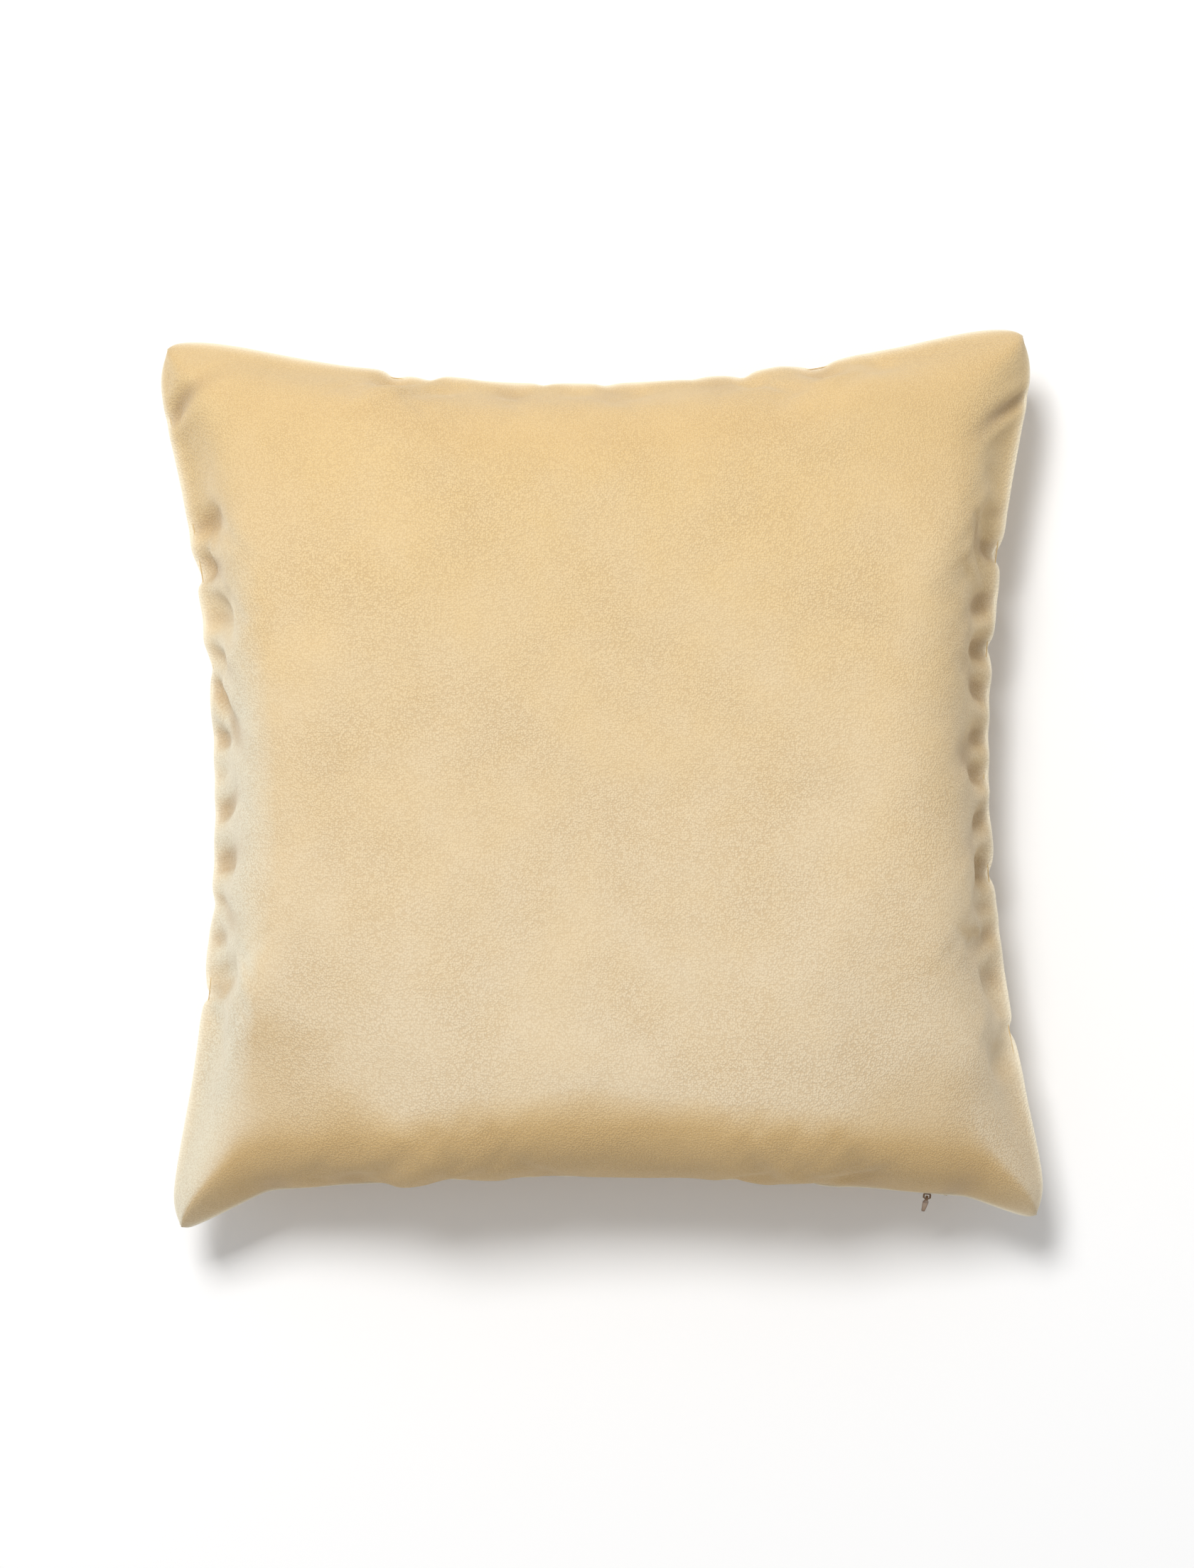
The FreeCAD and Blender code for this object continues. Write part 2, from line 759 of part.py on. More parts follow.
def care_label():
    """A blank woven tape folded once, its ends caught in the left seam."""
    body = new_body("care_label")
    fold = new_sketch(body, "XZ_Plane", "care_label_section")
    low = "0"
    high = "2 * Dims.label_gauge + Dims.label_fold"
    corners = (
        ("0", low),
        ("Dims.label_reach", low),
        ("Dims.label_reach", high),
        ("0", high),
        ("0", "Dims.label_gauge + Dims.label_fold"),
        ("Dims.label_reach - Dims.label_gauge", "Dims.label_gauge + Dims.label_fold"),
        ("Dims.label_reach - Dims.label_gauge", "Dims.label_gauge"),
        ("0", "Dims.label_gauge"),
    )
    add_polygon(fold, corners)
    symmetric_pad(body, fold, "care_label_tape", "Dims.label_length")
    body.setExpression(
        "Placement.Base.x",
        "-Dims.cover_length / 2 + Dims.side_sag + Dims.thread_inset + 2 * Dims.thread_width",
    )
    body.setExpression("Placement.Base.y", "Dims.label_y")
    body.setExpression("Placement.Base.z", "Dims.seam_rise + Dims.velvet_gauge + Dims.tape_gap")
    return body


# ---------------------------------------------------------------- the whole cushion


def build_parts():
    """Every sub-part, in the order it is sewn together."""
    parts = [
        front_panel(),
        back_panel(),
        seam_thread(),
        allowance_binding(1, "front_edge_binding"),
        allowance_binding(-1, "back_edge_binding"),
        care_label(),
        insert_front_casing(),
        insert_back_casing(),
        insert_filling(),
        insert_seam_thread(),
        insert_closing_stitches(),
    ]
    for side, name in ((1, "front"), (-1, "back")):
        parts.append(zip_tape(side, "zip_tape_" + name))
        parts.append(zip_coil(side, "zip_coil_" + name))
        parts.append(zip_top_stop(side, "zip_top_stop_" + name))
        parts.append(zip_stitches(side, "zip_stitches_" + name))
    parts.append(zip_bottom_stop())
    right = "Dims.zip_right_x"
    left = "Dims.zip_left_x"
    parts.append(zip_bar_tack("zip_bar_tack_right", right, right + " - Dims.tack_length"))
    parts.append(zip_bar_tack("zip_bar_tack_left", left + " + Dims.tack_length", left))
    parts.append(slider_body())
    parts.append(pull_tab())
    return parts


def check_document():
    """Stop at the first object that failed to recompute."""
    for item in doc.Objects:
        for state in item.State:
            if state in ("Invalid", "Error"):
                raise RuntimeError("%s is %s" % (item.Label, state))


def export_parts(parts):
    """Write each sub-part's shape to a file that bears its name."""
    os.makedirs("parts", exist_ok=True)
    for part in parts:
        shape = part.Shape
        if shape.isNull() or not shape.isValid() or not shape.Solids:
            raise RuntimeError("%s has no valid solid" % part.Label)
        shape.exportStep("parts/%s.step" % part.Label)
        print("%-26s %2d solid(s) %12.2f mm3" % (part.Label, len(shape.Solids), shape.Volume))


sub_parts = build_parts()
doc.recompute()
check_document()
export_parts(sub_parts)
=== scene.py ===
import json
import math

import bpy
import numpy as np
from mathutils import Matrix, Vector, noise


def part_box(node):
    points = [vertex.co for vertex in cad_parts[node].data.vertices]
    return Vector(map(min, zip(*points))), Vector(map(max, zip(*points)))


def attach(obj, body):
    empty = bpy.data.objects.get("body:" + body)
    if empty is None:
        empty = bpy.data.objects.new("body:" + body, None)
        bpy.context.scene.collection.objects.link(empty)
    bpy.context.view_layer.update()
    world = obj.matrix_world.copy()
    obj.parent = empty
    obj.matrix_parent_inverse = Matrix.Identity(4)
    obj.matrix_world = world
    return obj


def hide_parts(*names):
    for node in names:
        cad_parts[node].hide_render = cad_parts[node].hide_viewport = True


# A square knife-edge throw pillow: a velvet cover with a concealed zip in its lower
# seam, over a fibre-filled insert. It lies on its back, face up. Metres throughout.

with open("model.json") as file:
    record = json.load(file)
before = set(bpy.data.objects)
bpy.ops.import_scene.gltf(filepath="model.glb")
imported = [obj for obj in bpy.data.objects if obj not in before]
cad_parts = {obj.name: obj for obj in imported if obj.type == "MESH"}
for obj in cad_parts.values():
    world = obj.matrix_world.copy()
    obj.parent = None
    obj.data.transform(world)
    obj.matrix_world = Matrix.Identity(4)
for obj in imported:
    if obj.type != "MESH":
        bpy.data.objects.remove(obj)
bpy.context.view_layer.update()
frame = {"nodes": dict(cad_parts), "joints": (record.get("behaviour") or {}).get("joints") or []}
CAD_NODES = frame["nodes"]

# ---- the cover's cut and lie
# Half the cut cloth's size, along the zip and across it, and how hollow each stuffed side is.
HALF_LENGTH = 0.2705
HALF_WIDTH = 0.276
SIDE_SAG = 0.043
CORNER_TRIM = 0.052
CORNER_POWER = 14
SEAM_RISE = 0.062
CORNER_DROOP = 0.006
DROOP_START = 0.76
FRONT_CROWN = 0.084
BACK_DEPTH = 0.072
REST_BLEND = 0.012
VELVET_GAUGE = 0.0012

ZIP_RADIUS = 1.955
ZIP_CENTRE_X = -0.044
ZIP_LEFT = -0.186
ZIP_RIGHT = 0.199
FLARE_LEFT = 0.198
FLARE_RIGHT = 0.210
FLARE_POWER = 1.25
FLARE_REACH = 0.008

SIMULATED_STEPS = 26
CELLS = 100
BLANK_PARTING = 0.003
OUTLINE_SMOOTHING = 6
ON_SEAM = 0.9999

# The insert's casing and filling: in from the cover's seam, in from its crown, up from the floor.
CASING_INSET = 0.0175
CASING_GAP = 0.0042
CASING_LEVEL = 0.0022
CASING_GAUGE = 0.0005
CASING_EDGE_LIFT = 0.0002
FILL_INSET = 0.0245
FILL_GAP = 0.0095
FILL_LEVEL = 0.0036
FILL_LUMPS = (0.0010, 0.03)


def ramp(value, start):
    """0 below start, 1 at 1, smooth between."""
    share = np.clip((np.abs(value) - start) / (1.0 - start), 0.0, 1.0)
    return share * share * (3.0 - 2.0 * share)


def zip_side_depth(x):
    """How far the zip's side lies beyond its own middle: an arc, then a flare to the corner."""

    def arc(place):
        middle = math.sqrt(ZIP_RADIUS**2 - ZIP_CENTRE_X**2)
        return middle - np.sqrt(ZIP_RADIUS**2 - (place - ZIP_CENTRE_X) ** 2)

    start = np.where(x > 0, FLARE_RIGHT, FLARE_LEFT)
    beyond = np.maximum(np.abs(x) - start, 0.0) / (HALF_LENGTH - start)
    tip = np.copysign(HALF_LENGTH, x)
    return arc(x) + (SIDE_SAG + FLARE_REACH - arc(tip)) * beyond**FLARE_POWER


def plan_point(u, v, inset):
    """Plan of the square cloth's point (u, v), each -1..1, on an outline set in by inset."""
    across = u * (1.0 - CORNER_TRIM * np.abs(v) ** CORNER_POWER)
    along = v * (1.0 - CORNER_TRIM * np.abs(u) ** CORNER_POWER)
    half_x = HALF_LENGTH - inset
    half_y = HALF_WIDTH - inset
    x = across * (half_x - SIDE_SAG * (1.0 - along**2))
    far_side = SIDE_SAG * (1.0 - across**2)
    zip_side = SIDE_SAG - zip_side_depth(across * half_x)
    y = along * (half_y - far_side * (1.0 + along) / 2.0 - zip_side * (1.0 - along) / 2.0)
    return x, y


def seam_height(x, y):
    """The seam is level along each side and droops towards the four corners."""
    near_end = ramp(x / HALF_LENGTH, DROOP_START)
    return SEAM_RISE - CORNER_DROOP * near_end * ramp(y / HALF_WIDTH, DROOP_START)


def rising(value, start, span):
    """0 up to start, 1 from start + span on, straight between."""
    return np.clip((value - start) / span, 0, 1)


def edge_share(flat):
    """0 at the middle of the cloth, 1 on its sewn edge."""
    return np.maximum(np.abs(flat[:, 0]), np.abs(flat[:, 1]))


def pressed(height, level):
    """Height of a dome that is pressed flat at this level, blended smoothly."""
    overlap = np.maximum(REST_BLEND - np.abs(height - level), 0.0) / REST_BLEND
    return np.maximum(height, level) + overlap * overlap * REST_BLEND / 4.0


def zip_place(x, inward, height):
    """A point of the zip: across the cushion at x, this far in from the seam, at this height from it."""
    angle = np.arcsin((x - ZIP_CENTRE_X) / ZIP_RADIUS)
    radius = ZIP_RADIUS + inward
    middle = -HALF_WIDTH + SIDE_SAG - math.sqrt(ZIP_RADIUS**2 - ZIP_CENTRE_X**2)
    across = ZIP_CENTRE_X + radius * np.sin(angle)
    along = middle + radius * np.cos(angle)
    return np.stack([across, along, SEAM_RISE + height + 0.0 * across], axis=-1)


# ---- small helpers
def deselect():
    """Nothing selected, in object mode."""
    if bpy.context.object and bpy.context.object.mode != "OBJECT":
        bpy.ops.object.mode_set(mode="OBJECT")
    bpy.ops.object.select_all(action="DESELECT")


def activate(piece):
    """This piece alone is selected and active."""
    deselect()
    piece.select_set(True)
    bpy.context.view_layer.objects.active = piece


def points_of(piece):
    """The mesh points of a piece, one row each."""
    flat = np.empty(len(piece.data.vertices) * 3)
    piece.data.vertices.foreach_get("co", flat)
    return flat.reshape(-1, 3)


def place_points(piece, points):
    """Give a piece new mesh points."""
    piece.data.vertices.foreach_set("co", np.ascontiguousarray(points, dtype=np.float64).ravel())
    piece.data.update()


def attribute_of(piece, name):
    """A vector attribute of a piece's points, one row each."""
    flat = np.empty(len(piece.data.vertices) * 3)
    piece.data.attributes[name].data.foreach_get("vector", flat)
    return flat.reshape(-1, 3)


def put_attribute(piece, name, rows):
    """Write a vector attribute on a piece's points."""
    layers = piece.data.attributes
    layer = layers.get(name) or layers.new(name, "FLOAT_VECTOR", "POINT")
    layer.data.foreach_set("vector", np.ascontiguousarray(rows, dtype=np.float64).ravel())


def put_shade(piece, name, values):
    """Write a single-valued attribute on a piece's points."""
    layers = piece.data.attributes
    layer = layers.get(name) or layers.new(name, "FLOAT", "POINT")
    layer.data.foreach_set("value", np.ascontiguousarray(values, dtype=np.float64).ravel())


def copy_of(piece, name):
    """A copy with its own mesh."""
    activate(piece)
    bpy.ops.object.duplicate()
    twin = bpy.context.object
    twin.name = name
    twin.data.name = name
    return twin


def apply_modifier(piece, kind, **settings):
    """Add a modifier, set it and apply it."""
    activate(piece)
    modifier = piece.modifiers.new(kind.title(), kind)
    for key, value in settings.items():
        setattr(modifier, key, value)
    if kind == "SUBSURF":
        modifier.render_levels = modifier.levels
    bpy.ops.object.modifier_apply(modifier=modifier.name)


def finish_piece(piece, body, slot, material, *stands_for):
    """Smooth a piece, paint it, tie it to its body and hide the CAD nodes it stands for."""
    activate(piece)
    bpy.ops.object.shade_smooth_by_angle(angle=math.radians(50))
    piece.data.materials.clear()
    piece.data.materials.append(material)
    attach(piece, body)
    if stands_for:
        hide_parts(*stands_for)


# ---- the stuffed form
def sewn_blank(cells, half_length, half_width):
    """Two square cloths sewn together at their edges, hardly parted, ready to be filled."""
    deselect()
    bpy.ops.mesh.primitive_grid_add(x_subdivisions=cells, y_subdivisions=cells, size=2)
    front = bpy.context.object
    flat = points_of(front)
    u, v = flat[:, 0].copy(), flat[:, 1].copy()
    parted = BLANK_PARTING * np.sqrt(np.maximum(1 - u**2, 0)) * np.sqrt(np.maximum(1 - v**2, 0))
    place_points(front, np.stack([u * half_length, v * half_width, parted], axis=1))
    put_attribute(front, "flat", np.stack([u, v, np.ones(len(u))], axis=1))
    back = copy_of(front, "blank_back")
    put_attribute(back, "flat", np.stack([u, v, -np.ones(len(u))], axis=1))
    place_points(back, points_of(back) * np.array([1, 1, -1]))
    bpy.ops.object.mode_set(mode="EDIT")
    bpy.ops.mesh.select_all(action="SELECT")
    bpy.ops.mesh.flip_normals()
    bpy.ops.object.mode_set(mode="OBJECT")
    front.select_set(True)
    bpy.context.view_layer.objects.active = front
    bpy.ops.object.join()
    bpy.ops.object.mode_set(mode="EDIT")
    bpy.ops.mesh.select_all(action="SELECT")
    bpy.ops.mesh.remove_doubles(threshold=0.00002)
    bpy.ops.object.mode_set(mode="OBJECT")
    return front


def fill_blank(blank):
    """Blow the sewn blank up as its filling would."""
    activate(blank)
    cloth = blank.modifiers.new("Cloth", "CLOTH")
    settings = cloth.settings
    settings.quality = 5
    settings.mass = 0.3
    settings.tension_stiffness = 15
    settings.compression_stiffness = 15
    settings.shear_stiffness = 1
    settings.bending_stiffness = 0.5
    settings.use_pressure = True
    settings.uniform_pressure_force = 4
    settings.effector_weights.gravity = 0
    cloth.collision_settings.use_collision = False
    cloth.point_cache.frame_start = 1
    cloth.point_cache.frame_end = SIMULATED_STEPS
    for step in range(1, SIMULATED_STEPS + 1):
        bpy.context.scene.frame_set(step)
    bpy.ops.object.modifier_apply(modifier=cloth.name)
    bpy.context.scene.frame_set(1)


def side_line(flat, points, fixed, at):
    """The blank's edge along one side: shares along it, in order, and its points."""
    on = np.abs(flat[:, fixed] - at) < 1e-4
    order = np.argsort(flat[on][:, 1 - fixed])
    return flat[on][order][:, 1 - fixed], points[on][order]


def smoothed(line, reach):
    """A line of points with its small waves taken out; its ends stay."""
    weights = np.hanning(2 * reach + 1)
    weights /= weights.sum()
    before = 2 * line[:1] - line[reach:0:-1]
    after = 2 * line[-1:] - line[-2:-reach - 2:-1]
    padded = np.concatenate([before, line, after])
    return np.stack([np.convolve(column, weights, mode="valid") for column in padded.T], axis=1)


def fitted_form(flat, points, inset):
    """Plan of the stuffed form, its edges carried to the seam's outline set in by inset."""
    u, v = flat[:, 0], flat[:, 1]
    shift = {}
    for fixed in (0, 1):
        for at in (-1, 1):
            share, line = side_line(flat, points, fixed, at)
            ends = np.full(len(share), float(at))
            goal_u, goal_v = (ends, share) if fixed == 0 else (share, ends)
            goal = np.stack(plan_point(goal_u, goal_v, inset), axis=1)
            shift[(fixed, at)] = (share, goal - smoothed(line[:, :2], OUTLINE_SMOOTHING))
    a, b = (u + 1) / 2, (v + 1) / 2
    moved = np.zeros((len(flat), 2))
    for k in range(2):
        left_share, left_shift = shift[(0, -1)][0], shift[(0, -1)][1][:, k]
        right_share, right_shift = shift[(0, 1)][0], shift[(0, 1)][1][:, k]
        left = np.interp(v, left_share, left_shift)
        right = np.interp(v, right_share, right_shift)
        near = np.interp(u, shift[(1, -1)][0], shift[(1, -1)][1][:, k])
        far = np.interp(u, shift[(1, 1)][0], shift[(1, 1)][1][:, k])
        moved[:, k] = (1 - a) * left + a * right + (1 - b) * near + b * far
        moved[:, k] -= (1 - a) * (1 - b) * left_shift[0] + a * (1 - b) * right_shift[0]
        moved[:, k] -= (1 - a) * b * left_shift[-1] + a * b * right_shift[-1]
    return points[:, 0] + moved[:, 0], points[:, 1] + moved[:, 1]


# ---- puckers, creases and lips
# Where the seam's thread draws the velvet in: (place along the side, lean, depth, width).
LEFT_PUCKERS = (
    (0.214, 0.5, 0.0022, 0.005), (0.151, 0.1, 0.0017, 0.006), (0.132, -0.2, 0.0022, 0.006),
    (0.120, 0.2, 0.0014, 0.005), (0.098, 0.0, 0.0010, 0.006), (0.078, -0.3, 0.0024, 0.006),
    (0.060, -0.6, 0.0040, 0.008), (0.028, 0.0, 0.0030, 0.007), (0.005, 0.2, 0.0012, 0.006),
    (-0.017, 0.3, 0.0026, 0.007), (-0.047, 0.2, 0.0028, 0.008), (-0.064, -0.3, 0.0020, 0.006),
    (-0.090, 0.2, 0.0012, 0.007), (-0.118, 0.0, 0.0010, 0.008),
)
RIGHT_PUCKERS = (
    (0.222, -0.5, 0.0024, 0.005), (0.152, -0.1, 0.0012, 0.006), (0.130, 0.2, 0.0026, 0.007),
    (0.102, -0.2, 0.0030, 0.007), (0.072, 0.1, 0.0032, 0.007), (0.046, 0.3, 0.0030, 0.007),
    (0.022, -0.1, 0.0030, 0.007), (-0.002, 0.2, 0.0032, 0.007), (-0.023, -0.3, 0.0026, 0.006),
    (-0.058, 0.2, 0.0030, 0.008), (-0.077, 0.0, 0.0022, 0.006), (-0.091, -0.2, 0.0022, 0.006),
    (-0.120, 0.1, 0.0012, 0.008),
)
NEAR_PUCKERS = (
    (-0.196, 0.1, 0.0010, 0.010), (-0.150, -0.2, 0.0006, 0.012), (-0.098, 0.2, 0.0005, 0.012),
    (-0.030, 0.0, 0.0005, 0.016), (0.048, 0.2, 0.0005, 0.014), (0.104, -0.2, 0.0007, 0.011),
    (0.150, 0.1, 0.0006, 0.012), (0.200, 0.2, 0.0011, 0.010),
)
FAR_PUCKERS = (
    (-0.120, 0.1, 0.0007, 0.014), (-0.050, 0.0, 0.0009, 0.012), (0.012, -0.1, 0.0007, 0.014),
    (0.070, 0.1, 0.0007, 0.012), (0.128, 0.2, 0.0009, 0.012),
)
PUCKER_REACH = 0.036
PUCKER_STRENGTH = 1.5
PUCKER_START = 0.0015
PUCKER_RISE = 0.004
PUCKER_WIDENING = 0.1
# The fold that stands up on each side of a pucker: its height and place, in shares of the pucker.
FOLD_SHARE = 0.45
FOLD_PLACE = 1.7
DENT_DEPTH = 0.0012
# Near the seam the cloth moves level, by this share, and further up it moves along its normal.
LEVEL_REACH = 0.005
LEVEL_SHARE = 0.3
SIDE_LEAN = 0.015
FAR_LEAN = 0.006
LEAN_RISE = 0.012
LEAN_REACH = 0.070
CORNER_EASE = 0.3
EDGE_LIFT = 0.0009
# The lips, ring by ring: (inward, away from the seam's plane), plain and along the zip.
PLAIN_TURN = ((0.0006, 0.00040), (0.0018, 0.00018), (0.0060, 0.00018), (0.0110, 0.00018))
ZIP_TURN = ((0.0006, 0.00105), (0.0027, 0.00110), (0.0037, 0.00340), (0.0043, 0.00520))
SLOT_MARGIN = 0.002
SLOT_FADE = 0.006
NEAR_EDGE = -0.999
# The filling's lumps under the velvet: height and pitch, large and small.
LARGE_LUMPS = (0.0009, 0.07)
SMALL_LUMPS = (0.0005, 0.03)
LUMPS_FROM_SEAM = 0.2
# Where each painted sheen, shade and highlight on the velvet starts and over how much it grows, by place,
# slope or share.
PALE_TOWARDS_ZIP = (-0.21, 0.36)
GOLDEN_ZIP_SLOPE = (0.15, 0.34)
GOLDEN_OFF_CORNERS = (0.0, 0.2)
GOLDEN_FAR_SLOPE = (0.05, 0.4)
GOLDEN_FAR_SHARE = 0.5
SHEEN_LEFT_SLOPE = (0.45, 0.4)
SHEEN_TOWARDS_ZIP = (-0.17, 0.12)
RIM_HIGHLIGHT_WIDTH = 0.0022


def grid_normals(flat, points, side):
    """Outward normals of one half of the form, from its own grid."""
    rounded = np.round(flat[:, :2], 5)
    order = np.lexsort((rounded[:, 0], rounded[:, 1]))
    across = int(round(math.sqrt(len(points))))
    grid = points[order].reshape(across, across, 3)
    normal = side * np.cross(np.gradient(grid, axis=1), np.gradient(grid, axis=0))
    normal /= np.linalg.norm(normal, axis=2, keepdims=True) + 1e-12
    rows = np.empty_like(points)
    rows[order] = normal.reshape(-1, 3)
    return rows


def pucker_depth(along, inward, puckers):
    """How far the cloth is drawn in, for points at this place along a side and this far from it."""
    depth = np.zeros(len(along))
    fade = np.exp(-((inward / PUCKER_REACH) ** 2)) * (1 - np.exp(-(inward + PUCKER_START) / PUCKER_RISE))
    for place, lean, deep, width in puckers:
        spread = width * (1 + inward / PUCKER_WIDENING)
        off = (along - place - lean * inward) / spread
        folds = FOLD_SHARE * np.exp(-((np.abs(off) - FOLD_PLACE) ** 2))
        depth += deep * fade * (np.exp(-off * off) - folds)
    return depth


def draw_in_puckers(flat, points, side):
    """Draw the cloth in along its seams; the seam itself moves level, so both halves still meet.

    Gives the new points, and how much each lies in a dent (above 0) or on a fold (below 0); the dents are
    given painted shade.
    """
    normal = grid_normals(flat, points, side)
    u, v = flat[:, 0], flat[:, 1]
    sides = (
        (points[:, 1], (1 + u) * HALF_LENGTH, LEFT_PUCKERS, (1.0, 0.0)),
        (points[:, 1], (1 - u) * HALF_LENGTH, RIGHT_PUCKERS, (-1.0, 0.0)),
        (points[:, 0], (1 + v) * HALF_WIDTH, NEAR_PUCKERS, (0.0, 1.0)),
        (points[:, 0], (1 - v) * HALF_WIDTH, FAR_PUCKERS, (0.0, -1.0)),
    )
    moved = points.copy()
    dent = np.zeros(len(points))
    for along, inward, puckers, level in sides:
        depth = pucker_depth(along, inward, puckers)
        dent += depth / DENT_DEPTH
        at_seam = np.exp(-inward / LEVEL_REACH)[:, None]
        direction = LEVEL_SHARE * at_seam * np.array([level[0], level[1], 0.0]) - (1 - at_seam) * normal
        moved += PUCKER_STRENGTH * depth[:, None] * direction
    return moved, np.clip(dent, -1, 1)


def lumps(points, pitch, seed):
    """A soft unevenness from the filling, -1 to 1, over the plan."""
    shift = Vector((seed * 3.7, seed * 1.9, seed * 0.7))
    return np.array([noise.noise(Vector(p) / pitch + shift) for p in points])


def turn_in_edge(panel, side):
    """Turn the panel's edge in: rolled lips all round, folded back on themselves along the zip."""
    edge = None
    for plain, slot in zip(PLAIN_TURN, ZIP_TURN):
        before = len(panel.data.vertices)
        activate(panel)
        bpy.ops.object.mode_set(mode="EDIT")
        bpy.ops.mesh.select_mode(type="EDGE")
        bpy.ops.mesh.select_all(action="DESELECT")
        bpy.ops.mesh.select_non_manifold()
        bpy.ops.mesh.extrude_edges_move()
        bpy.ops.object.mode_set(mode="OBJECT")
        flat = attribute_of(panel, "flat")
        points = points_of(panel)
        fresh = np.arange(before, len(points))
        uv = flat[fresh, :2]
        if edge is None:
            edge, edge_uv = points[fresh].copy(), uv.copy()
        match = ((edge_uv[None] - uv[:, None]) ** 2).sum(axis=2).argmin(axis=1)
        seam = edge[match]
        u, v = uv[:, 0], uv[:, 1]
        past_right = seam[:, 0] - ZIP_RIGHT - SLOT_MARGIN
        past_left = ZIP_LEFT - SLOT_MARGIN - seam[:, 0]
        away = np.maximum(np.maximum(past_right, past_left), 0)
        zipped = np.where(v < NEAR_EDGE, np.clip(1 - away / SLOT_FADE, 0, 1), 0)
        inward = plain[0] + (slot[0] - plain[0]) * zipped
        up = plain[1] + (slot[1] - plain[1]) * zipped
        set_in = np.stack(plan_point(u, v, inward), axis=1) - np.stack(plan_point(u, v, 0.0), axis=1)
        points[fresh, :2] = seam[:, :2] + set_in
        points[fresh, 2] = seam_height(points[fresh, 0], points[fresh, 1]) + side * up
        place_points(panel, points)


def add_cloth_map(panel, half_length, half_width):
    """A UV map in metres of flat cloth, so a pattern follows the weave."""
    flat = attribute_of(panel, "flat")
    layer = panel.data.uv_layers.new(name="cloth")
    corner = np.empty(len(panel.data.loops), dtype=np.int32)
    panel.data.loops.foreach_get("vertex_index", corner)
    rows = flat[corner, :2] * np.array([half_length, half_width])
    layer.data.foreach_set("uv", rows.astype(np.float32).ravel())


def half_of(form, name, side):
    """One half of the sewn form as its own cloth."""
    panel = copy_of(form, name)
    flat = attribute_of(panel, "flat")
    wrong = (edge_share(flat) <= ON_SEAM) & (np.sign(flat[:, 2]) != side)
    bpy.ops.object.mode_set(mode="EDIT")
    bpy.ops.mesh.select_mode(type="VERT")
    bpy.ops.mesh.select_all(action="DESELECT")
    bpy.ops.object.mode_set(mode="OBJECT")
    panel.data.vertices.foreach_set("select", wrong)
    bpy.ops.object.mode_set(mode="EDIT")
    bpy.ops.mesh.delete(type="VERT")
    bpy.ops.object.mode_set(mode="OBJECT")
    return panel


def wall_lean(inward, most):
    """How far the cloth leans in from upright, at this distance up it from a side's seam."""
    return most * (1 - np.exp(-inward / LEAN_RISE)) * np.exp(-((inward / LEAN_REACH) ** 2))


def domed(flat, points, inset, crown, depth, level):
    """The form's points at a size: plan set in, crown and back to their heights, back pressed flat."""
    x, y = fitted_form(flat, points, inset)
    from_side = (1 - np.abs(flat[:, 0])) * HALF_LENGTH
    from_far = (1 - flat[:, 1]) * HALF_WIDTH
    side_ease = rising(1 - np.abs(flat[:, 1]), 0, CORNER_EASE)
    far_ease = rising(1 - np.abs(flat[:, 0]), 0, CORNER_EASE)
    x -= np.sign(flat[:, 0]) * side_ease * wall_lean(from_side, SIDE_LEAN)
    y -= far_ease * wall_lean(from_far, FAR_LEAN)
    seam = seam_height(x, y)
    rise = points[:, 2] * crown / points[:, 2].max()
    fall = points[:, 2] * depth / -points[:, 2].min()
    z = np.where(flat[:, 2] > 0, seam + np.maximum(rise, 0), pressed(seam + np.minimum(fall, 0), level))
    return np.stack([x, y, np.where(edge_share(flat) > ON_SEAM, seam, z)], axis=1)


def paint_sheen_and_shade(panel, flat, points, normal, dent):
    """Paint light onto the velvet, point by point: painted sheen, painted shade on steep slopes and in
    dents, painted highlight along the seam.
    """
    # Painted shade on the steep slopes that face the zip, away from the light, eased off near the corners,
    # and more lightly on those that face the far side.
    leaning = rising(-normal[:, 1], *GOLDEN_ZIP_SLOPE) * rising(1 - np.abs(flat[:, 0]), *GOLDEN_OFF_CORNERS)
    far_slope_shade = GOLDEN_FAR_SHARE * rising(normal[:, 1], *GOLDEN_FAR_SLOPE)
    # A painted sheen on the lower part of the slopes that face left, towards the light.
    painted_sheen = rising(-normal[:, 0], *SHEEN_LEFT_SLOPE) * rising(-points[:, 1], *SHEEN_TOWARDS_ZIP)
    from_seam = (1 - edge_share(flat)) * HALF_LENGTH
    # A painted sheen, paler and cooler, that grows towards the zip side and is held back where painted shade
    # lies.
    put_shade(panel, "nap", rising(-points[:, 1], *PALE_TOWARDS_ZIP) * (1 - leaning))
    # Painted shade on the steep slopes.
    put_shade(panel, "turned", np.maximum(leaning, far_slope_shade))
    # Painted shade in the pucker dents.
    put_shade(panel, "dent", np.maximum(dent, 0))
    put_shade(panel, "painted_sheen", painted_sheen)
    # A painted highlight along the seam's edge.
    put_shade(panel, "rim_highlight", np.exp(-from_seam / RIM_HIGHLIGHT_WIDTH))


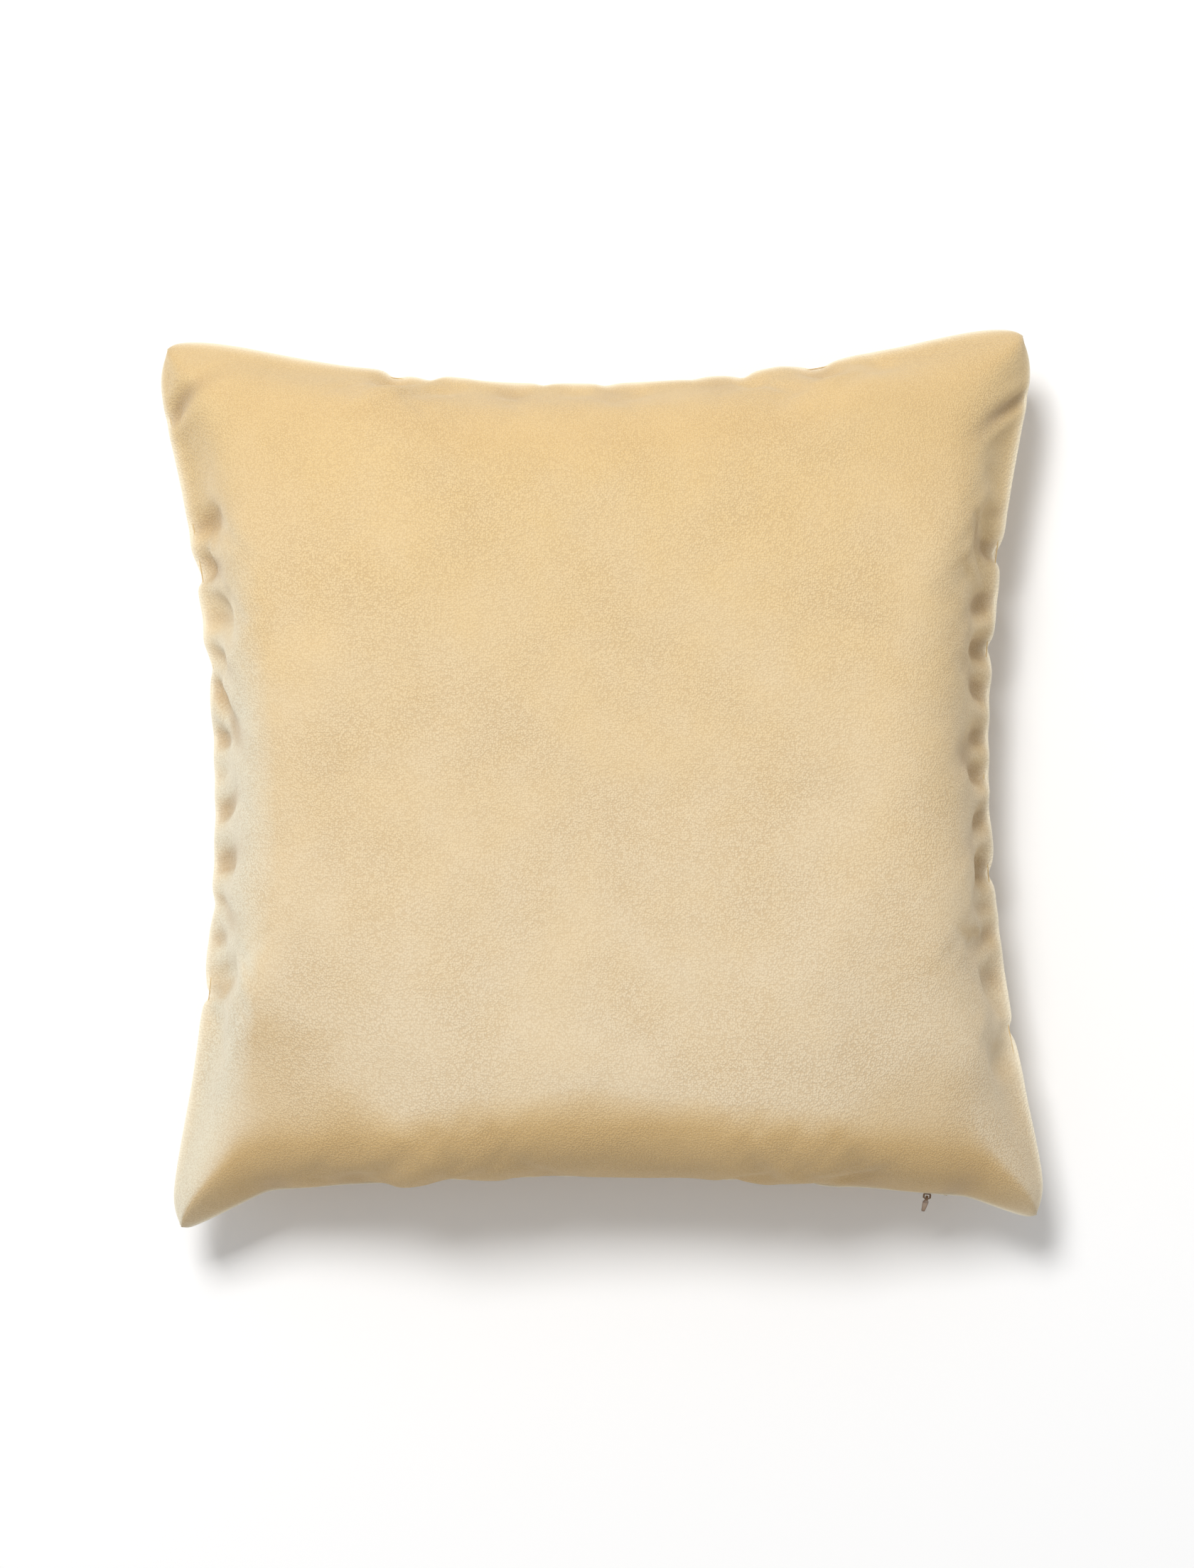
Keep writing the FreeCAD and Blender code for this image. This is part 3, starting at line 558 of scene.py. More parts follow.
def velvet_panel(form, name, side):
    """One velvet panel of the cover."""
    panel = half_of(form, name, side)
    apply_modifier(panel, "SUBSURF", levels=1, boundary_smooth="PRESERVE_CORNERS")
    flat = attribute_of(panel, "flat")
    points, dent = draw_in_puckers(flat, points_of(panel), side)
    inner = rising(1 - edge_share(flat), 0, LUMPS_FROM_SEAM)
    swell = LARGE_LUMPS[0] * lumps(points, LARGE_LUMPS[1], 1)
    swell = swell + SMALL_LUMPS[0] * lumps(points, SMALL_LUMPS[1], 2)
    points += (grid_normals(flat, points, side).T * inner * swell).T
    points[edge_share(flat) > ON_SEAM, 2] += side * EDGE_LIFT
    points[:, 2] = np.maximum(points[:, 2], 0.0)
    place_points(panel, points)
    paint_sheen_and_shade(panel, flat, points, grid_normals(flat, points, side), dent)
    turn_in_edge(panel, side)
    add_cloth_map(panel, HALF_LENGTH, HALF_WIDTH)
    apply_modifier(panel, "SOLIDIFY", thickness=VELVET_GAUGE, offset=-1)
    return panel


# ---- finishes: shared effects
def effect_group(name, inputs, outputs):
    """An empty node group with named inputs and outputs."""
    group = bpy.data.node_groups.new(name, "ShaderNodeTree")
    for label, kind, default in inputs:
        socket = group.interface.new_socket(name=label, in_out="INPUT", socket_type=kind)
        if default is not None:
            socket.default_value = default
    for label, kind in outputs:
        group.interface.new_socket(name=label, in_out="OUTPUT", socket_type=kind)
    return group, group.nodes.new("NodeGroupInput"), group.nodes.new("NodeGroupOutput")


def math_node(tree, operation, first, second=None):
    """A math node fed by sockets or numbers."""
    node = tree.nodes.new("ShaderNodeMath")
    node.operation = operation
    for socket, value in ((node.inputs[0], first), (node.inputs[1], second)):
        if isinstance(value, (int, float)):
            socket.default_value = value
        elif value is not None:
            tree.links.new(value, socket)
    return node.outputs[0]


def noise_node(tree, vector, scale, detail, rough=0.5):
    """A noise pattern; its value."""
    node = tree.nodes.new("ShaderNodeTexNoise")
    node.inputs["Detail"].default_value = detail
    node.inputs["Roughness"].default_value = rough
    if isinstance(scale, (int, float)):
        node.inputs["Scale"].default_value = scale
    else:
        tree.links.new(scale, node.inputs["Scale"])
    tree.links.new(vector, node.inputs["Vector"])
    return node.outputs["Fac"]


def range_node(tree, value, low, high, to_low=0.0, to_high=1.0):
    """Stretch a value from one range to another, clamped."""
    node = tree.nodes.new("ShaderNodeMapRange")
    tree.links.new(value, node.inputs["Value"])
    limits = {"From Min": low, "From Max": high, "To Min": to_low, "To Max": to_high}
    for label, number in limits.items():
        node.inputs[label].default_value = number
    return node.outputs["Result"]


def mix_node(tree, factor, first, second):
    """Mix two colours."""
    node = tree.nodes.new("ShaderNodeMix")
    node.data_type = "RGBA"
    sockets = (node.inputs["Factor"], node.inputs[6], node.inputs[7])
    for socket, value in zip(sockets, (factor, first, second)):
        if isinstance(value, (int, float, tuple)):
            socket.default_value = value
        else:
            tree.links.new(value, socket)
    return node.outputs[2]


def make_pile_group():
    """Velvet pile: tufts in rows, fine fuzz and broad patches where the nap lies another way."""
    inputs = (
        ("Vector", "NodeSocketVector", None), ("Row Pitch", "NodeSocketFloat", 0.0013),
        ("Tuft Width", "NodeSocketFloat", 0.0011),
    )
    outputs = (
        ("Gaps", "NodeSocketFloat"), ("Fuzz", "NodeSocketFloat"), ("Patches", "NodeSocketFloat"),
        ("Height", "NodeSocketFloat"),
    )
    tree, start, end = effect_group("velvet_pile", inputs, outputs)
    vector = start.outputs["Vector"]
    cut = tree.nodes.new("ShaderNodeSeparateXYZ")
    tree.links.new(vector, cut.inputs[0])
    wobble = math_node(tree, "MULTIPLY", noise_node(tree, vector, 45.0, 2.0), 0.006)
    waved = math_node(tree, "ADD", cut.outputs["Y"], wobble)
    rows = math_node(tree, "DIVIDE", waved, start.outputs["Row Pitch"])
    tufts = math_node(tree, "DIVIDE", cut.outputs["X"], start.outputs["Tuft Width"])
    lattice = tree.nodes.new("ShaderNodeCombineXYZ")
    tree.links.new(tufts, lattice.inputs["X"])
    tree.links.new(rows, lattice.inputs["Y"])
    cells = tree.nodes.new("ShaderNodeTexVoronoi")
    cells.inputs["Scale"].default_value = 1.0
    cells.inputs["Randomness"].default_value = 0.75
    tree.links.new(lattice.outputs["Vector"], cells.inputs["Vector"])
    gaps = range_node(tree, cells.outputs["Distance"], 0.30, 0.75)
    fuzz = noise_node(tree, vector, 1500.0, 3.0, 0.7)
    broad = noise_node(tree, vector, 12.0, 2.0, 0.55)
    small = noise_node(tree, vector, 50.0, 3.0, 0.6)
    mostly_broad = math_node(tree, "MULTIPLY", broad, 0.65)
    blend = math_node(tree, "ADD", mostly_broad, math_node(tree, "MULTIPLY", small, 0.35))
    brushed = range_node(tree, noise_node(tree, vector, 16.0, 2.0), 0.35, 0.65, 0.6, 1.0)
    shown = math_node(tree, "MULTIPLY", gaps, brushed)
    fuzz_height = math_node(tree, "MULTIPLY", fuzz, 0.5)
    height = math_node(tree, "SUBTRACT", fuzz_height, math_node(tree, "MULTIPLY", shown, 0.8))
    tree.links.new(shown, end.inputs["Gaps"])
    tree.links.new(fuzz, end.inputs["Fuzz"])
    tree.links.new(range_node(tree, blend, 0.40, 0.60), end.inputs["Patches"])
    tree.links.new(height, end.inputs["Height"])
    return tree


def make_weave_group():
    """Over-and-under threads, for plain woven cloth and tape."""
    inputs = (("Vector", "NodeSocketVector", None), ("Thread Pitch", "NodeSocketFloat", 0.0005))
    outputs = (("Threads", "NodeSocketFloat"), ("Slubs", "NodeSocketFloat"))
    tree, start, end = effect_group("plain_weave", inputs, outputs)
    cut = tree.nodes.new("ShaderNodeSeparateXYZ")
    tree.links.new(start.outputs["Vector"], cut.inputs[0])
    waves = []
    for axis in ("X", "Y"):
        turns = math_node(tree, "DIVIDE", cut.outputs[axis], start.outputs["Thread Pitch"])
        waves.append(math_node(tree, "SINE", math_node(tree, "MULTIPLY", turns, math.pi)))
    product = math_node(tree, "MULTIPLY", waves[0], waves[1])
    tree.links.new(range_node(tree, product, -1.0, 1.0), end.inputs["Threads"])
    tree.links.new(noise_node(tree, start.outputs["Vector"], 300.0, 4.0), end.inputs["Slubs"])
    return tree


def make_twist_group():
    """The plied strands of a thread or of a moulded coil, seen as slanting bands."""
    inputs = (("Vector", "NodeSocketVector", None), ("Twist Pitch", "NodeSocketFloat", 0.0006))
    outputs = (("Strands", "NodeSocketFloat"), ("Specks", "NodeSocketFloat"))
    tree, start, end = effect_group("thread_twist", inputs, outputs)
    cut = tree.nodes.new("ShaderNodeSeparateXYZ")
    tree.links.new(start.outputs["Vector"], cut.inputs[0])
    level = math_node(tree, "ADD", cut.outputs["X"], cut.outputs["Y"])
    slant = math_node(tree, "ADD", level, cut.outputs["Z"])
    turns = math_node(tree, "DIVIDE", slant, start.outputs["Twist Pitch"])
    wave = math_node(tree, "SINE", math_node(tree, "MULTIPLY", turns, 2 * math.pi))
    tree.links.new(range_node(tree, wave, -1.0, 1.0), end.inputs["Strands"])
    tree.links.new(noise_node(tree, start.outputs["Vector"], 900.0, 3.0), end.inputs["Specks"])
    return tree


def make_wear_group():
    """Paint or metal handled at its edges: broad rubs and fine speckle."""
    inputs = (("Vector", "NodeSocketVector", None), ("Speckle Scale", "NodeSocketFloat", 2500.0))
    outputs = (("Rubbed", "NodeSocketFloat"), ("Speckle", "NodeSocketFloat"))
    tree, start, end = effect_group("handling_wear", inputs, outputs)
    rubbed = range_node(tree, noise_node(tree, start.outputs["Vector"], 420.0, 4.0), 0.45, 0.7)
    tree.links.new(rubbed, end.inputs["Rubbed"])
    speckle = noise_node(tree, start.outputs["Vector"], start.outputs["Speckle Scale"], 2.0)
    tree.links.new(speckle, end.inputs["Speckle"])
    return tree


PILE = make_pile_group()
WEAVE = make_weave_group()
TWIST = make_twist_group()
WEAR = make_wear_group()


def new_finish(name, **sockets):
    """A material with its shader set, ready for its pattern."""
    material = bpy.data.materials.new(name)
    material.use_nodes = True
    shader = material.node_tree.nodes["Principled BSDF"]
    for label, value in sockets.items():
        shader.inputs[label.replace("_", " ")].default_value = value
    return material, material.node_tree, shader


def effect(tree, group, vector, **sockets):
    """Place a shared effect with its own values."""
    node = tree.nodes.new("ShaderNodeGroup")
    node.node_tree = group
    tree.links.new(vector, node.inputs["Vector"])
    for label, value in sockets.items():
        node.inputs[label.replace("_", " ")].default_value = value
    return node


def place_node(tree, cloth_map=False):
    """The pattern's coordinates: the piece's cloth map, or its place."""
    if cloth_map:
        node = tree.nodes.new("ShaderNodeUVMap")
        node.uv_map = "cloth"
        return node.outputs["UV"]
    return tree.nodes.new("ShaderNodeTexCoord").outputs["Object"]


def bump(tree, shader, height, strength, distance):
    """Feed a height into the shader's normal."""
    node = tree.nodes.new("ShaderNodeBump")
    node.inputs["Strength"].default_value = strength
    node.inputs["Distance"].default_value = distance
    tree.links.new(height, node.inputs["Height"])
    tree.links.new(node.outputs["Normal"], shader.inputs["Normal"])


def shade_node(tree, name):
    """A value painted on the piece's own points."""
    node = tree.nodes.new("ShaderNodeAttribute")
    node.attribute_name = name
    return node.outputs["Fac"]


def velvet_finish():
    """Butter-yellow velvet, golden, with painted light on it: a paler, cooler painted sheen, painted shade
    on steep slopes and in dents, and a painted highlight along the seam.
    """
    material, tree, shader = new_finish(
        "butter_velvet", Sheen_Weight=0.35, Sheen_Roughness=0.4, Sheen_Tint=(1.0, 0.97, 0.86, 1.0),
        Specular_IOR_Level=0.12,
    )
    pile = effect(tree, PILE, place_node(tree, cloth_map=True), Row_Pitch=0.0013, Tuft_Width=0.0011)
    # Golden is the velvet's own colour; pale stands for a painted sheen.
    golden = (0.745, 0.54, 0.265, 1.0)
    pale = (0.735, 0.605, 0.415, 1.0)
    shadow_between_tufts = (0.42, 0.26, 0.11, 1.0)
    bright_tips = (0.90, 0.78, 0.56, 1.0)
    # The colour of the painted highlight along the seam's edge.
    rim_highlight_colour = (0.92, 0.86, 0.70, 1.0)
    # Painted light on the velvet, each with how much it shows and its colour: painted shade on the steep
    # slopes, a painted sheen on the slopes that face left, painted shade in the pucker dents.
    lies = {
        "turned": (0.8, (0.60, 0.395, 0.165, 1.0)),
        "painted_sheen": (0.75, (0.80, 0.76, 0.61, 1.0)),
        "dent": (0.68, (0.45, 0.30, 0.155, 1.0)),
    }
    # The painted sheen towards the zip side, broken up by the pile's broad patches.
    patches = math_node(tree, "MULTIPLY", math_node(tree, "SUBTRACT", pile.outputs["Patches"], 0.5), 0.22)
    nap = math_node(tree, "ADD", shade_node(tree, "nap"), patches)
    colour = mix_node(tree, range_node(tree, nap, 0.0, 1.0), golden, pale)
    for shade, (share, tint) in lies.items():
        colour = mix_node(tree, math_node(tree, "MULTIPLY", shade_node(tree, shade), share), colour, tint)
    gaps = math_node(tree, "MULTIPLY", pile.outputs["Gaps"], 0.42)
    colour = mix_node(tree, gaps, colour, shadow_between_tufts)
    flecks = range_node(tree, pile.outputs["Fuzz"], 0.45, 0.70, 0.0, 0.30)
    colour = mix_node(tree, flecks, colour, bright_tips)
    # The painted highlight along the seam's edge.
    colour = mix_node(tree, math_node(tree, "MULTIPLY", shade_node(tree, "rim_highlight"), 0.8), colour, rim_highlight_colour)
    tree.links.new(colour, shader.inputs["Base Color"])
    rough = range_node(tree, pile.outputs["Fuzz"], 0.3, 0.7, 0.82, 0.98)
    tree.links.new(rough, shader.inputs["Roughness"])
    bump(tree, shader, pile.outputs["Height"], 0.5, 0.0007)
    return material


def woven_finish(name, base, shade, pitch, gloss):
    """Plain woven cloth or tape in one dye."""
    material, tree, shader = new_finish(name, Sheen_Weight=0.2, Specular_IOR_Level=0.3)
    weave = effect(tree, WEAVE, place_node(tree, cloth_map=True), Thread_Pitch=pitch)
    colour = mix_node(tree, weave.outputs["Threads"], shade, base)
    colour = mix_node(tree, range_node(tree, weave.outputs["Slubs"], 0.4, 0.7, 0.0, 0.35), colour, shade)
    tree.links.new(colour, shader.inputs["Base Color"])
    rough = range_node(tree, weave.outputs["Slubs"], 0.3, 0.7, gloss, gloss + 0.15)
    tree.links.new(rough, shader.inputs["Roughness"])
    bump(tree, shader, weave.outputs["Threads"], 0.4, pitch / 3)
    return material


def thread_finish(name, base, shade, pitch, gloss):
    """Spun sewing thread, or a coil moulded in thread's colour."""
    material, tree, shader = new_finish(name, Specular_IOR_Level=0.4)
    twist = effect(tree, TWIST, place_node(tree), Twist_Pitch=pitch)
    colour = mix_node(tree, twist.outputs["Strands"], shade, base)
    colour = mix_node(tree, range_node(tree, twist.outputs["Specks"], 0.4, 0.7, 0.0, 0.4), colour, shade)
    tree.links.new(colour, shader.inputs["Base Color"])
    rough = range_node(tree, twist.outputs["Specks"], 0.3, 0.7, gloss, gloss + 0.2)
    tree.links.new(rough, shader.inputs["Roughness"])
    bump(tree, shader, twist.outputs["Strands"], 0.4, pitch / 4)
    return material


def metal_finish(name, base, rub, metallic, gloss):
    """Enamelled or bare die-cast metal with handling wear."""
    material, tree, shader = new_finish(name, Metallic=metallic, Specular_IOR_Level=0.5)
    wear = effect(tree, WEAR, place_node(tree), Speckle_Scale=2500.0)
    colour = mix_node(tree, math_node(tree, "MULTIPLY", wear.outputs["Rubbed"], 0.5), base, rub)
    colour = mix_node(tree, range_node(tree, wear.outputs["Speckle"], 0.45, 0.7, 0.0, 0.25), colour, rub)
    tree.links.new(colour, shader.inputs["Base Color"])
    rough = range_node(tree, wear.outputs["Rubbed"], 0.0, 1.0, gloss, gloss + 0.25)
    tree.links.new(rough, shader.inputs["Roughness"])
    bump(tree, shader, wear.outputs["Speckle"], 0.15, 0.00008)
    return material


def fibre_finish():
    """Loose polyester fibre: white strands and tufts, with painted grey shade where the clumps sink."""
    material, tree, shader = new_finish("hollow_fibre", Sheen_Weight=0.3, Specular_IOR_Level=0.2)
    place = place_node(tree)
    clumps = noise_node(tree, place, 45.0, 5.0, 0.65)
    strands = noise_node(tree, place, 700.0, 4.0, 0.7)
    # Painted shade: grey where the clumps sink, by the same pattern that raises the bump.
    hollow_shade = (0.62, 0.62, 0.60, 1.0)
    tufts = (0.86, 0.86, 0.84, 1.0)
    single_strands = (0.93, 0.93, 0.91, 1.0)
    colour = mix_node(tree, range_node(tree, clumps, 0.35, 0.65), hollow_shade, tufts)
    colour = mix_node(tree, range_node(tree, strands, 0.45, 0.65, 0.0, 0.4), colour, single_strands)
    tree.links.new(colour, shader.inputs["Base Color"])
    tree.links.new(range_node(tree, strands, 0.3, 0.7, 0.85, 1.0), shader.inputs["Roughness"])
    bump(tree, shader, math_node(tree, "ADD", clumps, math_node(tree, "MULTIPLY", strands, 0.3)), 0.6, 0.002)
    return material


VELVET = velvet_finish()
CASING = woven_finish("spun_casing", (0.80, 0.79, 0.76, 1.0), (0.66, 0.65, 0.62, 1.0), 0.0006, 0.75)
TAPE = woven_finish("zip_tape_weave", (0.62, 0.47, 0.27, 1.0), (0.45, 0.32, 0.17, 1.0), 0.0005, 0.6)
SATIN = woven_finish("label_satin", (0.84, 0.83, 0.80, 1.0), (0.72, 0.71, 0.68, 1.0), 0.00025, 0.35)
SEWING = thread_finish("sewing_thread", (0.72, 0.53, 0.25, 1.0), (0.50, 0.34, 0.14, 1.0), 0.0006, 0.5)
BINDING = thread_finish("overlock_thread", (0.74, 0.58, 0.31, 1.0), (0.50, 0.36, 0.17, 1.0), 0.0021, 0.55)
CASING_THREAD = thread_finish("casing_thread", (0.82, 0.81, 0.79, 1.0), (0.60, 0.59, 0.57, 1.0), 0.0006, 0.5)
COIL = thread_finish("zip_coil_nylon", (0.56, 0.40, 0.20, 1.0), (0.40, 0.27, 0.13, 1.0), 0.0012, 0.3)
ENAMEL = metal_finish("slider_enamel", (0.20, 0.115, 0.060, 1.0), (0.34, 0.21, 0.115, 1.0), 0.0, 0.32)
STEEL = metal_finish("stop_metal", (0.42, 0.36, 0.27, 1.0), (0.62, 0.55, 0.44, 1.0), 0.9, 0.35)
FIBRE = fibre_finish()

SLOT_FINISHES = {
    "velvet": VELVET, "sewing_thread": SEWING, "binding_thread": BINDING, "label_satin": SATIN,
    "casing_cloth": CASING, "fibre_filling": FIBRE, "casing_thread": CASING_THREAD, "zip_tape": TAPE,
    "zip_coil": COIL, "stop_metal": STEEL, "slider_enamel": ENAMEL,
}
for node in CAD_NODES.values():
    for slot in node.material_slots:
        slot.material = SLOT_FINISHES[slot.material.name.split(".")[0]]

# ---- the cover, the insert and its filling
FORM = sewn_blank(CELLS, HALF_LENGTH, HALF_WIDTH)
fill_blank(FORM)
FORM_FLAT = attribute_of(FORM, "flat")
FORM_POINTS = points_of(FORM)


def sized_form(name, inset, crown, depth, level):
    """A copy of the stuffed form at a size."""
    form = copy_of(FORM, name)
    place_points(form, domed(FORM_FLAT, FORM_POINTS, inset, crown, depth, level))
    return form


def remove(piece):
    """Take a working piece away."""
    bpy.data.objects.remove(piece, do_unlink=True)


cover = sized_form("cover_form", 0.0, FRONT_CROWN, BACK_DEPTH, 0.0)
velvet_front = velvet_panel(cover, "velvet_front", 1)
velvet_back = velvet_panel(cover, "velvet_back", -1)
remove(cover)
for velvet, node in ((velvet_front, "front_panel"), (velvet_back, "back_panel")):
    finish_piece(velvet, "cushion", "velvet", VELVET, node)


def casing_half(form, name, side):
    """One half of the insert's spun casing."""
    half = half_of(form, name, side)
    flat = attribute_of(half, "flat")
    points = points_of(half)
    on_seam = edge_share(flat) > ON_SEAM
    drawn_in = draw_in_puckers(flat, points, side)[0]
    points[~on_seam] = drawn_in[~on_seam]
    points[on_seam, 2] += side * CASING_EDGE_LIFT
    place_points(half, points)
    add_cloth_map(half, HALF_LENGTH, HALF_WIDTH)
    apply_modifier(half, "SOLIDIFY", thickness=CASING_GAUGE, offset=-1)
    return half


casing_form = sized_form(
    "casing_form", CASING_INSET, FRONT_CROWN - CASING_GAP, BACK_DEPTH - CASING_GAP, CASING_LEVEL,
)
for side, place, node in ((1, "upper", "insert_front_casing"), (-1, "lower", "insert_back_casing")):
    half = casing_half(casing_form, "insert_casing_" + place, side)
    finish_piece(half, "cushion", "casing_cloth", CASING, node)
remove(casing_form)

filling = sized_form("fibre_fill", FILL_INSET, FRONT_CROWN - FILL_GAP, BACK_DEPTH - FILL_GAP, FILL_LEVEL)
fill_points = points_of(filling)
fill_inner = np.clip(6 * (1 - edge_share(FORM_FLAT)), 0, 1)
unevenness = 0.5 + 0.5 * lumps(fill_points, FILL_LUMPS[1], 4)
fill_points[:, 2] -= FILL_LUMPS[0] * fill_inner * FORM_FLAT[:, 2] * unevenness
place_points(filling, fill_points)
finish_piece(filling, "cushion", "fibre_filling", FIBRE, "insert_filling")
remove(FORM)

# ---- zip tapes and coils
TAPE_MID = 0.0041
TAPE_START = 0.0010
TAPE_END = 0.0129
TAPE_BEND = 0.0036
TAPE_LEAN = 0.0032
COIL_INWARD = 0.00545
COIL_HEIGHT = 0.00175
COIL_RADIUS = 0.0010
COIL_WIRE = 0.00022
COIL_PITCH = 0.0012
TAPE_GAUGE = 0.0005


def zip_tape(name, side, node):
    """Half of the zip's woven tape, upright at the slot and leaning in along its panel."""
    deselect()
    bpy.ops.mesh.primitive_grid_add(x_subdivisions=170, y_subdivisions=8, size=1)
    tape = bpy.context.object
    tape.name = tape.data.name = name
    share = points_of(tape)[:, :2] + 0.5
    x = ZIP_LEFT + share[:, 0] * (ZIP_RIGHT - ZIP_LEFT)
    height = TAPE_START + share[:, 1] * (TAPE_END - TAPE_START)
    lean = TAPE_LEAN * np.maximum(height - TAPE_BEND, 0) / (TAPE_END - TAPE_BEND)
    place_points(tape, zip_place(x, TAPE_MID + lean, side * height))
    put_attribute(tape, "flat", np.stack([x, height, 0 * x], axis=1))
    add_cloth_map(tape, 1.0, 1.0)
    apply_modifier(tape, "SOLIDIFY", thickness=TAPE_GAUGE, offset=0)
    finish_piece(tape, "cushion", "zip_tape", TAPE, node)


def zip_coil(name, side, node):
    """The nylon coil sewn along one tape: a fine spiral, its ends closed."""
    low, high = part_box(node)
    start, end = low.x + COIL_WIRE, high.x - COIL_WIRE
    deselect()
    wire_middle = (0, COIL_RADIUS - COIL_WIRE, 0)
    bpy.ops.mesh.primitive_circle_add(vertices=6, radius=COIL_WIRE, location=wire_middle)
    coil = bpy.context.object
    coil.name = coil.data.name = name
    bpy.ops.object.transform_apply(location=True)
    turns = int((end - start) / COIL_PITCH)
    apply_modifier(
        coil, "SCREW", axis="X", angle=2 * math.pi, screw_offset=COIL_PITCH, iterations=turns, steps=10,
        render_steps=10, use_normal_calculate=True,
    )
    bpy.ops.object.mode_set(mode="EDIT")
    bpy.ops.mesh.select_all(action="SELECT")
    bpy.ops.mesh.fill_holes(sides=8)
    bpy.ops.mesh.select_all(action="SELECT")
    bpy.ops.mesh.normals_make_consistent(inside=False)
    bpy.ops.object.mode_set(mode="OBJECT")
    straight = points_of(coil)
    span = straight[:, 0] - straight[:, 0].min()
    x = start + span * (end - start) / span.max()
    place_points(coil, zip_place(x, COIL_INWARD + straight[:, 1], side * COIL_HEIGHT + straight[:, 2]))
    finish_piece(coil, "cushion", "zip_coil", COIL, node)


for side, half in ((1, "front"), (-1, "back")):
    zip_tape("zip_tape_weave_" + half, side, "zip_tape_" + half)
    zip_coil("zip_coil_spiral_" + half, side, "zip_coil_" + half)

# ---- the care label
LABEL_GAUGE = 0.00022


def care_label():
    """A blank satin tape folded once, its ends caught in the left seam."""
    low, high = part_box("care_label")
    deselect()
    bpy.ops.mesh.primitive_grid_add(x_subdivisions=24, y_subdivisions=16, size=1)
    label = bpy.context.object
    label.name = label.data.name = "care_label_satin"
    share = points_of(label)[:, :2] + 0.5
    radius = (high.z - low.z - LABEL_GAUGE) / 2
    reach = high.x - low.x - radius - LABEL_GAUGE / 2
    path = share[:, 0] * (2 * reach + math.pi * radius)
    turned = np.clip((path - reach) / radius, 0, math.pi)
    going_back = np.maximum(path - reach - math.pi * radius, 0)
    x = low.x + np.minimum(path, reach) - going_back + radius * np.sin(turned)
    z = low.z + LABEL_GAUGE / 2 + radius * (1 - np.cos(turned))
    y = low.y + share[:, 1] * (high.y - low.y)
    place_points(label, np.stack([x, y, z], axis=1))
    put_attribute(label, "flat", np.stack([path, y, 0 * y], axis=1))
    add_cloth_map(label, 1.0, 1.0)
    apply_modifier(label, "SOLIDIFY", thickness=LABEL_GAUGE, offset=0)
    finish_piece(label, "cushion", "label_satin", SATIN, "care_label")


care_label()

# ---- the pull
PULL_LENGTH = 0.018
PULL_WIDTH = 0.0034
PULL_TIP = 0.0022
PULL_GAUGE = 0.0010
PULL_RING = 0.00135
PULL_NECK = 0.0007
PULL_END = 0.0008
PULL_EDGE = 0.00014
RING_OVERLAP = 0.0004
DISH_RIM = 0.00042
DISH_DEPTH = 0.00022
DISH_START = 0.002
DISH_END = 0.001
RING_WIRE = 0.00035
RING_BREADTH = 2.2
PULL_DROOP = math.radians(60)
# The dish floor's finish is lighter than the enamel round it: a painted highlight where the dish catches the
# light.
DISH_HIGHLIGHT_FINISH = metal_finish("pull_dish_painted_highlight", (0.36, 0.225, 0.125, 1.0), (0.46, 0.31, 0.19, 1.0), 0.0, 0.38)


def pull_place(points):
    """Carry points from the pull's own axes (across, along, through) to where it hangs."""
    joint = [j for j in frame["joints"] if j["name"] == "pull_swing"][0]
    hinge = Vector(joint["pos_m"])
    across = Vector(joint["axis"]).normalized()
    outward = Vector((across.y, -across.x, 0))
    along = -(math.cos(PULL_DROOP) * outward - math.sin(PULL_DROOP) * Vector((0, 0, 1)))
    through = across.cross(along)
    return np.array(hinge) + points @ np.array([across, along, through])


def faces_chosen(piece, test):
    """Select in edit mode the faces whose centre and normal pass the test."""
    bpy.ops.mesh.select_all(action="DESELECT")
    bpy.ops.object.mode_set(mode="OBJECT")
    for polygon in piece.data.polygons:
        polygon.select = test(polygon.center, polygon.normal)
    bpy.ops.object.mode_set(mode="EDIT")


